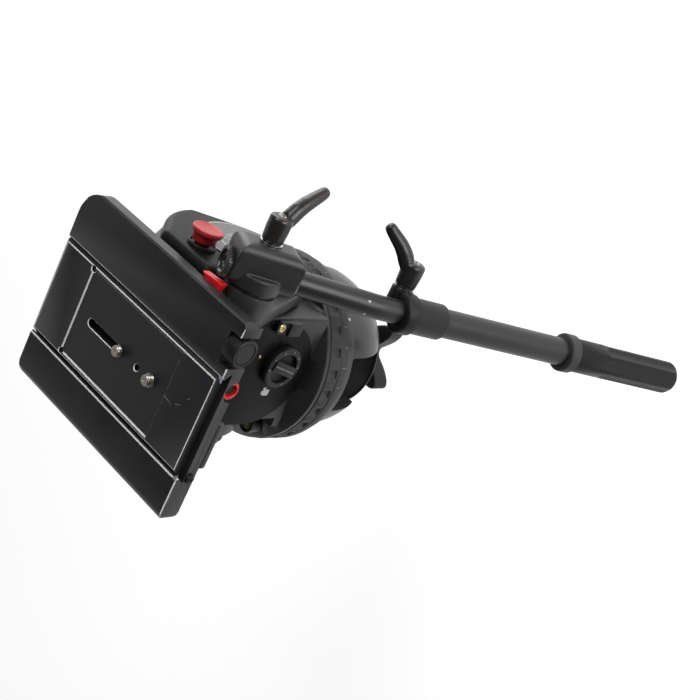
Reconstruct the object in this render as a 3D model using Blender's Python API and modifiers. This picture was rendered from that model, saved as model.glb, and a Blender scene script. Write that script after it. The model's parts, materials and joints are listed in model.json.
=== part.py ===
"""Fluid video head: half ball base, panning body, tilting camera platform and telescopic pan bar.

Metres, +Z up. The origin is the centre of the half ball, on the pan axis.
The lens looks along -Y, the operator stands at +Y and the pan bar hangs on the -X side.
"""

import math

import bmesh
import bpy
from mathutils import Matrix, Vector

# Driving sizes
GAP = 0.0003
OVERRUN = 0.004
MERGE = 0.000002
ROUND_STEPS = 48
SMALL_STEPS = 24
TINY_STEPS = 12

# Half ball and bowl clamp
BALL_R = 0.075
BALL_BOTTOM_Z = -0.040
BALL_WALL = 0.013
BALL_RIM_STEP = 0.007
BALL_RIM_TOP_Z = 0.0246
BALL_RIM_BOTTOM_Z = 0.0145
BALL_ROOF_Z = 0.011
BOSS_R = 0.026
BOSS_BOTTOM_Z = -0.036
BOSS_CHAMFER = 0.003
WINDOW_COUNT = 3
WINDOW_HALF_WIDTH = 0.0275
WINDOW_CORNER_R = 0.0060
WINDOW_BELOW_ROOF = 0.0025
WINDOW_INNER_R = 0.032
WINDOW_FIRST_DEG = 90.0
INDEX_DOT_R = 0.0016
INDEX_DOT_DEG = 136.0
INDEX_DOT_Z = 0.0195
INDEX_DOT_LENGTH = 0.0030
INDEX_DOT_PROUD = 0.0004
STUD_R = 0.006
STUD_TOP_Z = -0.012
STUD_BOTTOM_Z = -0.105
DISH_RIM_R = 0.057
DISH_RIM_Z = -0.0475
DISH_EDGE = 0.0024
DISH_HUB_R = 0.016
DISH_DROP = 0.0120
DISH_HUB_LENGTH = 0.0085
STAR_LOBES = 5
STAR_TIP_R = 0.050
STAR_VALLEY_R = 0.021
STAR_THICKNESS = 0.019
STAR_HUB_R = 0.015
STAR_HUB_LENGTH = 0.012
STAR_EDGE = 0.0035
STAR_TURN_DEG = 64.0
STAR_LOBE_POWER = 1.7
STAR_POINTS_PER_LOBE = 10

# Pan drag ring
RING_R = 0.085
RING_BOTTOM_Z = 0.0252
RING_TOP_Z = 0.0480
RING_WALL = 0.017
RING_PAD_BOTTOM_Z = 0.0345
RING_EDGE = 0.0010
NUMBER_RIM_PROUD = 0.0006
NUMBER_RIM_TOP_Z = 0.0330
RING_PADS = 28
RING_PAD_MARGIN = 0.0016
RING_POCKET_WIDTH = 0.0098
RING_POCKET_DEPTH = 0.0042

# Panning body
DRUM_STEP = 0.0005
DRUM_BOTTOM_Z = 0.0486
DRUM_EDGE_Z = 0.0526
DRUM_SHOULDER_IN = 0.0135
DRUM_SHOULDER_Z = 0.0600
DRUM_TOP_IN = 0.0225
DRUM_TOP_Z = 0.0660
PAN_CAVITY_WALL = 0.0265
PAN_CAVITY_TOP_Z = 0.0535
TILT_Z = 0.108
BODY_LEFT_X = -0.0635
BODY_RIGHT_X = 0.0455
BODY_REAR_Y = 0.066
BODY_FRONT_Y = -0.058
BODY_BOTTOM_Z = 0.0535
BODY_CROWN_R = 0.080
BODY_EDGE = 0.0030
BODY_BORE_R = 0.040
CHEEK_GAP = 0.0025
SPINDLE_R = 0.020
SPINDLE_FOOT_R = 0.032
SPINDLE_FOOT_HEIGHT = 0.0080
PAN_PACK_INNER_GAP = 0.0004
PAN_PACK_BOTTOM_Z = 0.0335

# Rear panel, dial, level and pan brake
PANEL_CENTRE_X = -0.014
PANEL_R = 0.049
PANEL_RISE = 0.041
PANEL_THICKNESS = 0.0024
PANEL_TOP_RIGHT_X = 0.026
DIAL_X = -0.021
DIAL_BELOW_TILT = 0.011
DIAL_R = 0.019
DIAL_HEIGHT = 0.0070
DIAL_RIM = 0.0050
DIAL_POCKET_DEPTH = 0.0045
DIAL_RIDGE = 0.0085
DIAL_RIDGE_PROUD = 0.0016
DIAL_RIDGE_DEG = 107.0
DIAL_EDGE = 0.0008
DIAL_SHAFT_R = 0.0036
DIAL_SHAFT_INSIDE = 0.0200
DIAL_SHAFT_SEAT = 0.0020
DIAL_MARK_R = 0.0014
DIAL_MARK_SIDE = 0.0080
DIAL_MARK_ABOVE_DIAL = 0.0275
DIAL_MARK_PROUD = 0.0008
LEVEL_IN = 0.0131
LEVEL_DEG = 37.03
LEVEL_TOP_Z = 0.0700
LEVEL_SEAT_Z = 0.0570
LEVEL_R = 0.0080
LEVEL_VIAL_R = 0.0054
LEVEL_POCKET = 0.0036
LEVEL_VIAL_SUNK = 0.0006
BRAKE_X = -0.0585
BRAKE_ABOVE_TILT = 0.0100
BRAKE_HUB_R = 0.0060
BRAKE_WIDTH = 0.0115
BRAKE_REACH = 0.0205
BRAKE_THICKNESS = 0.0080
BRAKE_EDGE = 0.0010
BRAKE_CORNER = 0.0030
BRAKE_HUB_THICKNESS = 0.0050
BRAKE_SCREW_R = 0.0024
BRAKE_SCREW_HEAD_R = 0.0038
BRAKE_SCREW_HEAD = 0.0016
BRAKE_SCREW_DEPTH = 0.0120

# Tilting yoke
CHEEK_R = 0.055
CHEEK_THICKNESS = 0.0120
CHEEK_RIGHT_R = 0.050
CHEEK_RIGHT_THICKNESS = 0.0180
CHEEK_TOP_FRONT_Y = -0.030
CHEEK_TOP_REAR_Y = 0.040
CHEEK_RIGHT_REAR_Y = 0.030
CHEEK_EDGE = 0.0020
CHEEK_BULGE_R = 0.0735
CHEEK_BULGE_FROM_DEG = 126.0
CHEEK_BULGE_TO_DEG = 165.0
ROSETTE_Y = 0.066
ROSETTE_BELOW_PLATFORM = 0.025
ROSETTE_R = 0.021
ROSETTE_PROUD = 0.0005
ROSETTE_RING_R = 0.0185
ROSETTE_RING_THICKNESS = 0.0016
AXLE_R = 0.010
AXLE_PAST_CHEEK = 0.0020
COVER_DEPTH = 0.0120
COVER_INSET = 0.0020
COVER_EDGE = 0.0070
COVER_BELOW_PLATFORM = 0.0050
LABEL_THICKNESS = 0.0004
LABEL_INNER_R = 0.020
LABEL_OUTER_R = 0.043
LABEL_FROM_DEG = 150.0
LABEL_TO_DEG = 262.0
TILT_RING_R = 0.044
TILT_RING_WIDTH = 0.0130
TILT_RING_BORE_R = 0.018
TILT_RING_EDGE = 0.0015
TILT_RING_NOTCHES = 14
TILT_RING_NOTCH_R = 0.0040

# Camera platform and plate
PLATFORM_ABOVE_CROWN = 0.003
PLATFORM_THICKNESS = 0.019
PLATFORM_HALF_WIDTH = 0.087
PLATFORM_NOSE_OUT = 0.0056
PLATFORM_FRONT_Y = -0.099
PLATFORM_REAR_Y = 0.116
PLATFORM_STEP_IN = 0.004
PLATFORM_STEP_UP = 0.0045
PLATFORM_STEP_SLOPE = 0.0025
PLATFORM_TOP_CHAMFER = 0.0015
PLATFORM_NOSE_R = 0.008
FRONT_LEFT_R = 0.025
FRONT_RIGHT_R = 0.012
REAR_CORNER_R = 0.005
PLATE_CENTRE_X = 0.007
PLATE_HALF_TOP = 0.0415
PLATE_THICKNESS = 0.0083
PLATE_FOOT = 0.0010
PLATE_CLEARANCE = 0.0006
PLATE_LIP_DEPTH = 0.0029
PLATE_REAR_INSET = 0.006
PLATE_END_CHAMFER = 0.0012
POCKET_FRONT_Y = -0.056
POCKET_REAR_Y = 0.069
POCKET_DEPTH = 0.0010
POCKET_RIM = 0.0024
POCKET_RELIEF_R = 0.0026
SLOT_FRONT_Y = -0.036
SCREW_R = 0.00476
SCREW_PROUD = 0.0042
SCREW_HEAD_R = 0.0080
SCREW_HEAD = 0.0034
SCREW_CLEARANCE = 0.0005
SCREW_FRONT_Y = 0.006
SCREW_REAR_Y = 0.048
PIN_HOLE_Y = 0.030
PIN_HOLE_R = 0.0028
LOCK_KNOB_X = -0.062
LOCK_KNOB_R = 0.0105
LOCK_KNOB_BELOW_TOP = 0.0095
LOCK_KNOB_FRONT_Y = 0.1045
LOCK_KNOB_REAR_Y = 0.1200
LOCK_KNOB_FLUTES = 16
LOCK_KNOB_FLUTE_R = 0.0009
FLUTE_SHARES = (0.0, 0.45, 0.62, 0.83)
LOCK_KNOB_RING_R = 0.0060
LOCK_KNOB_RING_DEPTH = 0.0006
LOCK_SHAFT_R = 0.0030
LOCK_SHAFT_LENGTH = 0.0300
LOCK_NOTCH_SIDE = 0.0008
CATCH_X = -0.026
CATCH_R = 0.0078
CATCH_NOTCH_R = 0.0090
CATCH_DROP = 0.0005
CATCH_DEPTH = 0.0070
CATCH_TRAVEL = 0.0025
CATCH_STEM_R = 0.0026
CATCH_STEM_LENGTH = 0.0080
CATCH_STEM_RISE = 0.0042
STOP_SCREW_X = 0.053
STOP_SCREW_R = 0.0042
STOP_SCREW_HEAD = 0.0022
STOP_SCREW_SHANK_R = 0.0025
STOP_SCREW_SHANK = 0.0090
CLAMP_BOX_FROM_X = 0.002
CLAMP_BOX_TO_X = 0.046
CLAMP_BOX_FROM_Y = 0.088
CLAMP_BOX_TO_Y = 0.1155
CLAMP_BOX_HEIGHT = 0.0078
CLAMP_BOX_EDGE = 0.0030
RELEASE_PIVOT_X = -0.0838
RELEASE_PIVOT_Y = 0.0580
RELEASE_HUB_R = 0.0050
RELEASE_TIP_X = -0.0905
RELEASE_TIP_FRONT_Y = 0.0430
RELEASE_TIP_REAR_X = -0.0922
RELEASE_TIP_REAR_Y = 0.0668
RELEASE_THICKNESS = 0.0076
RELEASE_POCKET_HEIGHT = 0.0080
RELEASE_POCKET_INNER_X = -0.0755
RELEASE_POCKET_FRONT_Y = 0.0360
RELEASE_POCKET_REAR_Y = 0.0720
RELEASE_PIN_R = 0.0025
RELEASE_PIN_SEAT = 0.0045
RELEASE_PIN_HEAD_R = 0.0040
RELEASE_PIN_HEAD = 0.0015
RELEASE_EDGE = 0.0012
BUTTON_Y = 0.004
BUTTON_BELOW_COVER_TOP = 0.017
BUTTON_CAP_R = 0.0132
BUTTON_NECK_R = 0.0104
BUTTON_CAP = 0.0042
BUTTON_CROWN = 0.0014
BUTTON_NECK = 0.0060
BUTTON_TRAVEL = 0.0030
BUTTON_STEM_R = 0.0040
BUTTON_STEM = 0.0100
COLLAR_NUT_R = 0.0128
COLLAR_NUT = 0.0050

# Pan bar bracket
BAR_FROM_ROSETTE = 0.0132
BAR_CAP_BEFORE_ROSETTE = 0.010
BAR_CAP_ABOVE_ROSETTE = 0.024
BAR_NEAR_DEG = 26.7
BAR_FAR_DEG = 18.9
BRACKET_CLEARANCE = 0.0004
BRACKET_WIDTH = 0.0372
BRACKET_BOSS_R = 0.0215
BRACKET_EDGE = 0.0020
BRACKET_FACE_HALF_WIDTH = 0.0165
BRACKET_FACE_EDGE = 0.0050
BRACKET_CAP_END_R = 0.0090
BRACKET_TUBE_END_R = 0.0100
BARREL_R = 0.0130
BARREL_LENGTH = 0.061
TUBE_R = 0.0101
TUBE_SEAT_DEPTH = 0.026
END_CAP_R = 0.0125
END_CAP_LENGTH = 0.0080
END_CAP_FLUTES = 16
END_CAP_FLUTE_R = 0.0011
CAP_FLUTE_SHARES = (0.0, 0.4, 0.6, 0.8)
END_CAP_DISH_R = 0.0082
END_CAP_DISH_DEPTH = 0.0016
END_CAP_SPIGOT_R = 0.0080
END_CAP_SPIGOT = 0.0060
BOLT_R = 0.0050
BOLT_IN_CHEEK = 0.0080

# Clamp levers
WASHER_R = 0.0092
WASHER_THICKNESS = 0.0014
LEVER_HEAD_FOOT_R = 0.0088
LEVER_HEAD_R = 0.0095
LEVER_HEAD_HEIGHT = 0.0215
LEVER_ROUND = 0.0030
LEVER_SCREW_R = 0.0036
LEVER_SCREW_PROUD = 0.0006
LEVER_SCREW_DEPTH = 0.0040
LEVER_BOLT_SEAT = 0.0080
LEVER_ROOT_R = 0.0056
LEVER_TIP_R = 0.0046
LEVER_ROOT_DROP = 0.0060
KNEE_REACH_SHARE = 0.45
KNEE_RISE_SHARE = 0.42
ELBOW_REACH_SHARE = 0.72
ELBOW_RISE_SHARE = 0.80
TIP_END_SHARE = 0.55
BRACKET_LEVER_REACH = 0.0400
BRACKET_LEVER_RISE = 0.0300
BRACKET_LEVER_DEG = -95.0
COLLAR_LEVER_REACH = 0.0335
COLLAR_LEVER_RISE = 0.0260
COLLAR_LEVER_DEG = 137.7

# Telescopic bar
BEND_FROM_EXIT = 0.066
BEND_R = 0.080
BEND_POINTS = 6
COLLAR_FROM_BEND = 0.014
COLLAR_RING_R = 0.0172
COLLAR_RING_LENGTH = 0.0120
COLLAR_SLEEVE_R = 0.0150
COLLAR_SLEEVE_LENGTH = 0.0310
COLLAR_EAR_OFFSET = 0.0160
COLLAR_EAR_R = 0.0095
COLLAR_EAR_INNER = 0.0040
COLLAR_EAR_PROUD = 0.0155
COLLAR_SLIT = 0.0022
TUBE_INSIDE_OUTER = 0.215
TUBE_BORE_CLEARANCE = 0.0004
OUTER_TUBE_R = 0.0122
OUTER_TUBE_SEAT = 0.0240
OUTER_TUBE_TO_GRIP = 0.1585
GRIP_RING_R = 0.0170
GRIP_RING_LENGTH = 0.0110
GRIP_RING_EDGE = 0.0020
GRIP_R = 0.0150
GRIP_LENGTH = 0.1240
GRIP_END_ROUND = 0.0080
GRIP_FLUTES = 7
GRIP_FLUTE_R = 0.0120
GRIP_FLUTE_DEPTH = 0.0018
GRIP_FLUTE_START = 0.0340
GRIP_FLUTE_SEGMENTS = 36
GRIP_FLUTE_STEPS = 6
GRIP_ROUND_SHARE = 0.3
GRIP_PLUG = 0.0060
TUBE_PIN_R = 0.0013
TUBE_PIN_PROUD = 0.0004
TUBE_PIN_DEPTH = 0.0030
TUBE_PIN_FROM_EXIT = 0.0580
TUBE_PIN_SPREAD_DEG = 34.0

# Values worked out from the sizes above
BALL_RIM_R = BALL_R + BALL_RIM_STEP
WINDOW_TOP_Z = BALL_ROOF_Z - WINDOW_BELOW_ROOF
RING_BORE_R = RING_R - RING_WALL
NUMBER_RIM_R = RING_R + NUMBER_RIM_PROUD
DRUM_R = RING_R - DRUM_STEP
DRUM_SHOULDER_R = DRUM_R - DRUM_SHOULDER_IN
DRUM_TOP_R = DRUM_R - DRUM_TOP_IN
PAN_CAVITY_R = DRUM_R - PAN_CAVITY_WALL
PLATFORM_BOTTOM_Z = TILT_Z + BODY_CROWN_R + PLATFORM_ABOVE_CROWN
PLATFORM_TOP_Z = PLATFORM_BOTTOM_Z + PLATFORM_THICKNESS
PANEL_CENTRE_Z = TILT_Z
PANEL_TOP_Z = TILT_Z + PANEL_RISE
DIAL_Z = TILT_Z - DIAL_BELOW_TILT
DIAL_MARK_X = DIAL_X - DIAL_MARK_SIDE
DIAL_MARK_Z = DIAL_Z + DIAL_MARK_ABOVE_DIAL
BRAKE_Z = TILT_Z + BRAKE_ABOVE_TILT
LEVEL_X = (DRUM_R - LEVEL_IN) * math.cos(math.radians(LEVEL_DEG))
LEVEL_Y = (DRUM_R - LEVEL_IN) * math.sin(math.radians(LEVEL_DEG))
LEFT_CHEEK_INNER_X = BODY_LEFT_X - CHEEK_GAP
LEFT_CHEEK_OUTER_X = LEFT_CHEEK_INNER_X - CHEEK_THICKNESS
RIGHT_CHEEK_INNER_X = BODY_RIGHT_X + CHEEK_GAP
RIGHT_CHEEK_OUTER_X = RIGHT_CHEEK_INNER_X + CHEEK_RIGHT_THICKNESS
PANEL_FACE_Y = BODY_REAR_Y + GAP + PANEL_THICKNESS
CHEEK_TOP_Z = PLATFORM_BOTTOM_Z - GAP
COVER_OUTER_X = LEFT_CHEEK_OUTER_X - COVER_DEPTH
COVER_TOP_Z = PLATFORM_BOTTOM_Z - COVER_BELOW_PLATFORM
BUTTON_Z = COVER_TOP_Z - BUTTON_BELOW_COVER_TOP
ROSETTE_Z = PLATFORM_BOTTOM_Z - ROSETTE_BELOW_PLATFORM
ROSETTE_FACE_X = COVER_OUTER_X - ROSETTE_PROUD
BRACKET_INNER_X = ROSETTE_FACE_X - GAP - ROSETTE_RING_THICKNESS - BRACKET_CLEARANCE
BRACKET_OUTER_X = BRACKET_INNER_X - BRACKET_WIDTH
BAR_X = BRACKET_INNER_X - BAR_FROM_ROSETTE
BAR_CAP_Y = ROSETTE_Y - BAR_CAP_BEFORE_ROSETTE
BAR_CAP_Z = ROSETTE_Z + BAR_CAP_ABOVE_ROSETTE
BOLT_INSIDE_X = LEFT_CHEEK_OUTER_X + BOLT_IN_CHEEK
COLLAR_OUTER_X = BAR_X - COLLAR_EAR_PROUD
LOCK_KNOB_Z = PLATFORM_TOP_Z - LOCK_KNOB_BELOW_TOP


# Scene helpers
def clear_scene():
    for obj in list(bpy.data.objects):
        bpy.data.objects.remove(obj, do_unlink=True)


def new_collection(name):
    found = bpy.data.collections.new(name)
    bpy.context.scene.collection.children.link(found)
    return found


clear_scene()
PARTS = new_collection("fluid_video_head")
CUTTERS = new_collection("cutters")
CUTTERS.hide_render = True


def material(name, colour, roughness, metallic):
    found = bpy.data.materials.new(name)
    found.use_nodes = True
    shader = found.node_tree.nodes["Principled BSDF"]
    shader.inputs["Base Color"].default_value = (*colour, 1.0)
    shader.inputs["Roughness"].default_value = roughness
    shader.inputs["Metallic"].default_value = metallic
    return found


BLACK_ANODISED = material("black_anodised", (0.012, 0.012, 0.014), 0.42, 0.6)
SATIN_BLACK = material("satin_black_paint", (0.020, 0.020, 0.022), 0.48, 0.1)
DARK_GREY = material("dark_grey_paint", (0.050, 0.050, 0.053), 0.50, 0.1)
BLACK_PLASTIC = material("black_plastic", (0.012, 0.012, 0.012), 0.55, 0.0)
BLACK_RUBBER = material("black_rubber", (0.014, 0.014, 0.014), 0.75, 0.0)
RED_PLASTIC = material("red_plastic", (0.62, 0.018, 0.022), 0.38, 0.0)
STEEL = material("bright_steel", (0.62, 0.60, 0.57), 0.28, 1.0)
CHROME = material("chrome", (0.80, 0.80, 0.80), 0.12, 1.0)
BRASS = material("brass", (0.60, 0.43, 0.20), 0.35, 1.0)
WHITE_PAINT = material("white_paint", (0.80, 0.80, 0.78), 0.50, 0.0)
GREY_LABEL = material("grey_label", (0.32, 0.33, 0.34), 0.45, 0.0)
VIAL_GREEN = material("vial_green", (0.52, 0.55, 0.25), 0.15, 0.0)


def empty(name, location, parent=None):
    found = bpy.data.objects.new(name, None)
    PARTS.objects.link(found)
    found.location = location
    bpy.context.view_layer.update()
    if parent is not None:
        under(found, parent)
    return found


def under(obj, parent):
    bpy.context.view_layer.update()
    obj.parent = parent
    obj.matrix_parent_inverse = parent.matrix_world.inverted()


def add_object(name, mesh, paint, cutter=False):
    obj = bpy.data.objects.new(name, mesh)
    if cutter:
        CUTTERS.objects.link(obj)
        obj.hide_render = True
        obj.display_type = "WIRE"
    else:
        PARTS.objects.link(obj)
    if paint is not None:
        mesh.materials.append(paint)
    return obj


def finish_bmesh(bm, name):
    bmesh.ops.recalc_face_normals(bm, faces=bm.faces)
    mesh = bpy.data.meshes.new(name)
    bm.to_mesh(mesh)
    bm.free()
    return mesh


def aim(obj, origin, direction, side=None):
    """Places the object with its local Z along the direction and its local X towards the side."""
    z_axis = Vector(direction).normalized()
    hint = Vector(side) if side is not None else Vector((1.0, 0.0, 0.0))
    if hint.cross(z_axis).length < MERGE:
        hint = Vector((0.0, 1.0, 0.0))
    x_axis = (hint - hint.dot(z_axis) * z_axis).normalized()
    y_axis = z_axis.cross(x_axis)
    turn = Matrix((x_axis, y_axis, z_axis)).transposed().to_4x4()
    obj.matrix_world = Matrix.Translation(Vector(origin)) @ turn
    return obj


def smooth(obj, degrees=35.0):
    obj.data.shade_smooth()
    obj.data.set_sharp_from_angle(angle=math.radians(degrees))
    return obj


def box(name, low, high, paint=None, cutter=False):
    """A box between two corners, in world axes, with its origin at its middle."""
    bm = bmesh.new()
    bmesh.ops.create_cube(bm, size=1.0)
    low, high = Vector(low), Vector(high)
    size = high - low
    bmesh.ops.scale(bm, vec=size, verts=bm.verts)
    obj = add_object(name, finish_bmesh(bm, name), paint, cutter)
    obj.location = (low + high) / 2.0
    return obj


def rod(name, radius, start, end, paint=None, cutter=False, steps=SMALL_STEPS, end_radius=None):
    """A round bar from one point to another."""
    start, end = Vector(start), Vector(end)
    length = (end - start).length
    bm = bmesh.new()
    tip = radius if end_radius is None else end_radius
    bmesh.ops.create_cone(bm, cap_ends=True, segments=steps, radius1=radius, radius2=tip, depth=length)
    obj = add_object(name, finish_bmesh(bm, name), paint, cutter)
    aim(obj, (start + end) / 2.0, end - start)
    return smooth(obj)


def turned(name, points, paint=None, cutter=False, steps=ROUND_STEPS, closed=False):
    """A profile of (radius, height) points spun round the local Z axis."""
    mesh = bpy.data.meshes.new(name)
    count = len(points)
    edges = [(i, i + 1) for i in range(count - 1)]
    if closed:
        edges.append((count - 1, 0))
    mesh.from_pydata([(r, 0.0, z) for r, z in points], edges, [])
    obj = add_object(name, mesh, paint, cutter)
    spin = obj.modifiers.new("Turn", "SCREW")
    spin.axis = "Z"
    spin.steps = steps
    spin.render_steps = steps
    spin.use_merge_vertices = True
    spin.merge_threshold = MERGE
    spin.use_smooth_shade = True
    return obj


def mesh_from_curve(curve_object, name, paint=None, cutter=False):
    """Replaces a curve object by the closed mesh of its shape."""
    bpy.context.view_layer.update()
    graph = bpy.context.evaluated_depsgraph_get()
    mesh = bpy.data.meshes.new_from_object(curve_object.evaluated_get(graph))
    place = curve_object.matrix_world.copy()
    bm = bmesh.new()
    bm.from_mesh(mesh)
    bmesh.ops.remove_doubles(bm, verts=bm.verts, dist=MERGE)
    bmesh.ops.recalc_face_normals(bm, faces=bm.faces)
    bm.to_mesh(mesh)
    bm.free()
    mesh.name = name
    mesh.materials.clear()
    bpy.data.objects.remove(curve_object, do_unlink=True)
    obj = add_object(name, mesh, paint, cutter)
    obj.matrix_world = place
    return obj


def outline(name, loops, depth, origin, direction, side, paint=None, cutter=False):
    """A flat outline in local X and Y, extruded by a depth centred on the origin, along the direction."""
    curve = bpy.data.curves.new(name, "CURVE")
    curve.dimensions = "2D"
    curve.fill_mode = "BOTH"
    curve.extrude = depth / 2.0
    for loop in loops:
        spline = curve.splines.new("POLY")
        spline.points.add(len(loop) - 1)
        for point, (u, v) in zip(spline.points, loop):
            point.co = (u, v, 0.0, 1.0)
        spline.use_cyclic_u = True
    obj = bpy.data.objects.new(name, curve)
    PARTS.objects.link(obj)
    aim(obj, origin, direction, side)
    return mesh_from_curve(obj, name, paint, cutter)


def yz_outline(name, loop, from_x, to_x, paint=None, cutter=False):
    """An outline given as (y, z) points, between two X planes."""
    middle = ((from_x + to_x) / 2.0, 0.0, 0.0)
    return outline(name, [loop], abs(to_x - from_x), middle, (1, 0, 0), (0, 1, 0), paint, cutter)


def xz_outline(name, loop, from_y, to_y, paint=None, cutter=False):
    """An outline given as (x, z) points, between two Y planes."""
    middle = (0.0, (from_y + to_y) / 2.0, 0.0)
    return outline(name, [loop], abs(to_y - from_y), middle, (0, -1, 0), (1, 0, 0), paint, cutter)


def xy_outline(name, loop, from_z, to_z, paint=None, cutter=False):
    """An outline given as (x, y) points, between two Z planes."""
    middle = (0.0, 0.0, (from_z + to_z) / 2.0)
    return outline(name, [loop], abs(to_z - from_z), middle, (0, 0, 1), (1, 0, 0), paint, cutter)


def boolean(obj, other, operation):
    step = obj.modifiers.new(operation.title(), "BOOLEAN")
    step.operation = operation
    step.object = other
    step.solver = "EXACT"
    return obj


def cut(obj, *others):
    for other in others:
        boolean(obj, other, "DIFFERENCE")
    return obj


def join(obj, *others):
    for other in others:
        boolean(obj, other, "UNION")
    return obj


def round_edges(obj, width, segments=2, degrees=35.0):
    step = obj.modifiers.new("Edges", "BEVEL")
    step.width = width
    step.segments = segments
    step.limit_method = "ANGLE"
    step.angle_limit = math.radians(degrees)
    return obj


def arc(centre, radius, from_deg, to_deg, count):
    """Points along an arc, both ends included."""
    points = []
    for i in range(count + 1):
        angle = math.radians(from_deg + (to_deg - from_deg) * i / count)
        points.append((centre[0] + radius * math.cos(angle), centre[1] + radius * math.sin(angle)))
    return points


def hull(points):
    """The convex outline of flat points, counter-clockwise."""
    ordered = sorted(set((round(u, 7), round(v, 7)) for u, v in points))

    def turn(a, b, c):
        return (b[0] - a[0]) * (c[1] - a[1]) - (b[1] - a[1]) * (c[0] - a[0])

    def chain(sequence):
        found = []
        for point in sequence:
            while len(found) > 1 and turn(found[-2], found[-1], point) <= 0:
                found.pop()
            found.append(point)
        return found[:-1]

    return chain(ordered) + chain(reversed(ordered))


def polar(radius, degrees, z=0.0):
    angle = math.radians(degrees)
    return Vector((radius * math.cos(angle), radius * math.sin(angle), z))


def sphere_r(radius, z):
    return math.sqrt(max(0.0, radius * radius - z * z))


# Base and bowl clamp
def half_ball():
    arc_count = 5
    outer = []
    for i in range(arc_count + 1):
        z = BALL_RIM_BOTTOM_Z + (BALL_BOTTOM_Z - BALL_RIM_BOTTOM_Z) * i / arc_count
        outer.append((sphere_r(BALL_R, z), z))
    inner_r = BALL_R - BALL_WALL
    inner = []
    for i in range(arc_count - 1):
        z = BALL_BOTTOM_Z + (0.0 - BALL_BOTTOM_Z) * i / (arc_count - 2)
        inner.append((sphere_r(inner_r, z), z))
    points = [(0.0, BALL_RIM_TOP_Z), (BALL_RIM_R, BALL_RIM_TOP_Z), (BALL_RIM_R, BALL_RIM_BOTTOM_Z)]
    points += outer + inner
    points += [
        (inner_r, BALL_ROOF_Z),
        (BOSS_R, BALL_ROOF_Z),
        (BOSS_R, BOSS_BOTTOM_Z + BOSS_CHAMFER),
        (BOSS_R - BOSS_CHAMFER, BOSS_BOTTOM_Z),
        (0.0, BOSS_BOTTOM_Z),
    ]
    obj = turned("half_ball", points, SATIN_BLACK)
    for i in range(WINDOW_COUNT):
        degrees = WINDOW_FIRST_DEG + i * 360.0 / WINDOW_COUNT
        near = polar(WINDOW_INNER_R, degrees)
        far = polar(BALL_R + OVERRUN, degrees)
        low = BALL_BOTTOM_Z - OVERRUN
        high = WINDOW_TOP_Z - WINDOW_CORNER_R
        across = WINDOW_HALF_WIDTH - WINDOW_CORNER_R
        arch = [(WINDOW_HALF_WIDTH, low)]
        arch += arc((across, high), WINDOW_CORNER_R, 0.0, 90.0, 4)
        arch += arc((-across, high), WINDOW_CORNER_R, 90.0, 180.0, 4)
        arch.append((-WINDOW_HALF_WIDTH, low))
        side = Vector((0, 0, 1)).cross(near - far)
        reach = (far - near).length
        middle = (near + far) / 2.0
        cut(obj, outline(f"ball_window_{i + 1}", [arch], reach, middle, near - far, side, cutter=True))
    stud_hole_top = (0, 0, STUD_TOP_Z + GAP)
    stud_hole_bottom = (0, 0, BOSS_BOTTOM_Z - OVERRUN)
    cut(obj, rod("stud_hole", STUD_R + GAP, stud_hole_top, stud_hole_bottom, cutter=True))
    start = polar(BALL_RIM_R - INDEX_DOT_LENGTH, INDEX_DOT_DEG, INDEX_DOT_Z)
    past = polar(BALL_RIM_R + OVERRUN, INDEX_DOT_DEG, INDEX_DOT_Z)
    cut(obj, rod("index_hole", INDEX_DOT_R + GAP, start, past, cutter=True, steps=TINY_STEPS))
    inner_end = polar(BALL_RIM_R - INDEX_DOT_LENGTH + GAP, INDEX_DOT_DEG, INDEX_DOT_Z)
    outer_end = polar(BALL_RIM_R + INDEX_DOT_PROUD, INDEX_DOT_DEG, INDEX_DOT_Z)
    rod("pan_index_dot", INDEX_DOT_R, inner_end, outer_end, WHITE_PAINT, steps=TINY_STEPS)
    return obj


def tie_down(dish_axis, knob_axis):
    rod("tie_down_stud", STUD_R, (0, 0, STUD_TOP_Z), (0, 0, STUD_BOTTOM_Z), STEEL)
    bore = STUD_R + GAP
    hub_top = DISH_RIM_Z - DISH_DROP + DISH_EDGE
    hub_bottom = hub_top - DISH_HUB_LENGTH
    dish = turned(
        "tie_down_dish",
        [
            (DISH_RIM_R, DISH_RIM_Z),
            (DISH_RIM_R, DISH_RIM_Z - DISH_EDGE),
            (DISH_HUB_R, hub_top - DISH_EDGE),
            (DISH_HUB_R, hub_bottom),
            (bore, hub_bottom),
            (bore, hub_top),
            (DISH_HUB_R, hub_top),
            (DISH_RIM_R - DISH_EDGE, DISH_RIM_Z),
        ],
        SATIN_BLACK,
        closed=True,
    )
    under(dish, dish_axis)
    star_top = hub_bottom - GAP - STAR_HUB_LENGTH
    loop = []
    total = STAR_LOBES * STAR_POINTS_PER_LOBE
    for i in range(total):
        angle = 360.0 * i / total
        share = ((1.0 + math.cos(math.radians(angle * STAR_LOBES))) / 2.0) ** STAR_LOBE_POWER
        radius = STAR_VALLEY_R + (STAR_TIP_R - STAR_VALLEY_R) * share
        point = polar(radius, angle + STAR_TURN_DEG)
        loop.append((point.x, point.y))
    star = xy_outline("tie_down_knob", loop, star_top, star_top - STAR_THICKNESS, BLACK_PLASTIC)
    round_edges(star, STAR_EDGE, 2, 50.0)
    hub = rod("knob_hub", STAR_HUB_R, (0, 0, hub_bottom - GAP), (0, 0, star_top - STAR_EDGE), cutter=True)
    join(star, hub)
    through = star_top - STAR_THICKNESS - OVERRUN
    cut(star, rod("knob_bore", bore, (0, 0, hub_bottom + OVERRUN), (0, 0, through), cutter=True))
    under(star, knob_axis)


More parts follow.
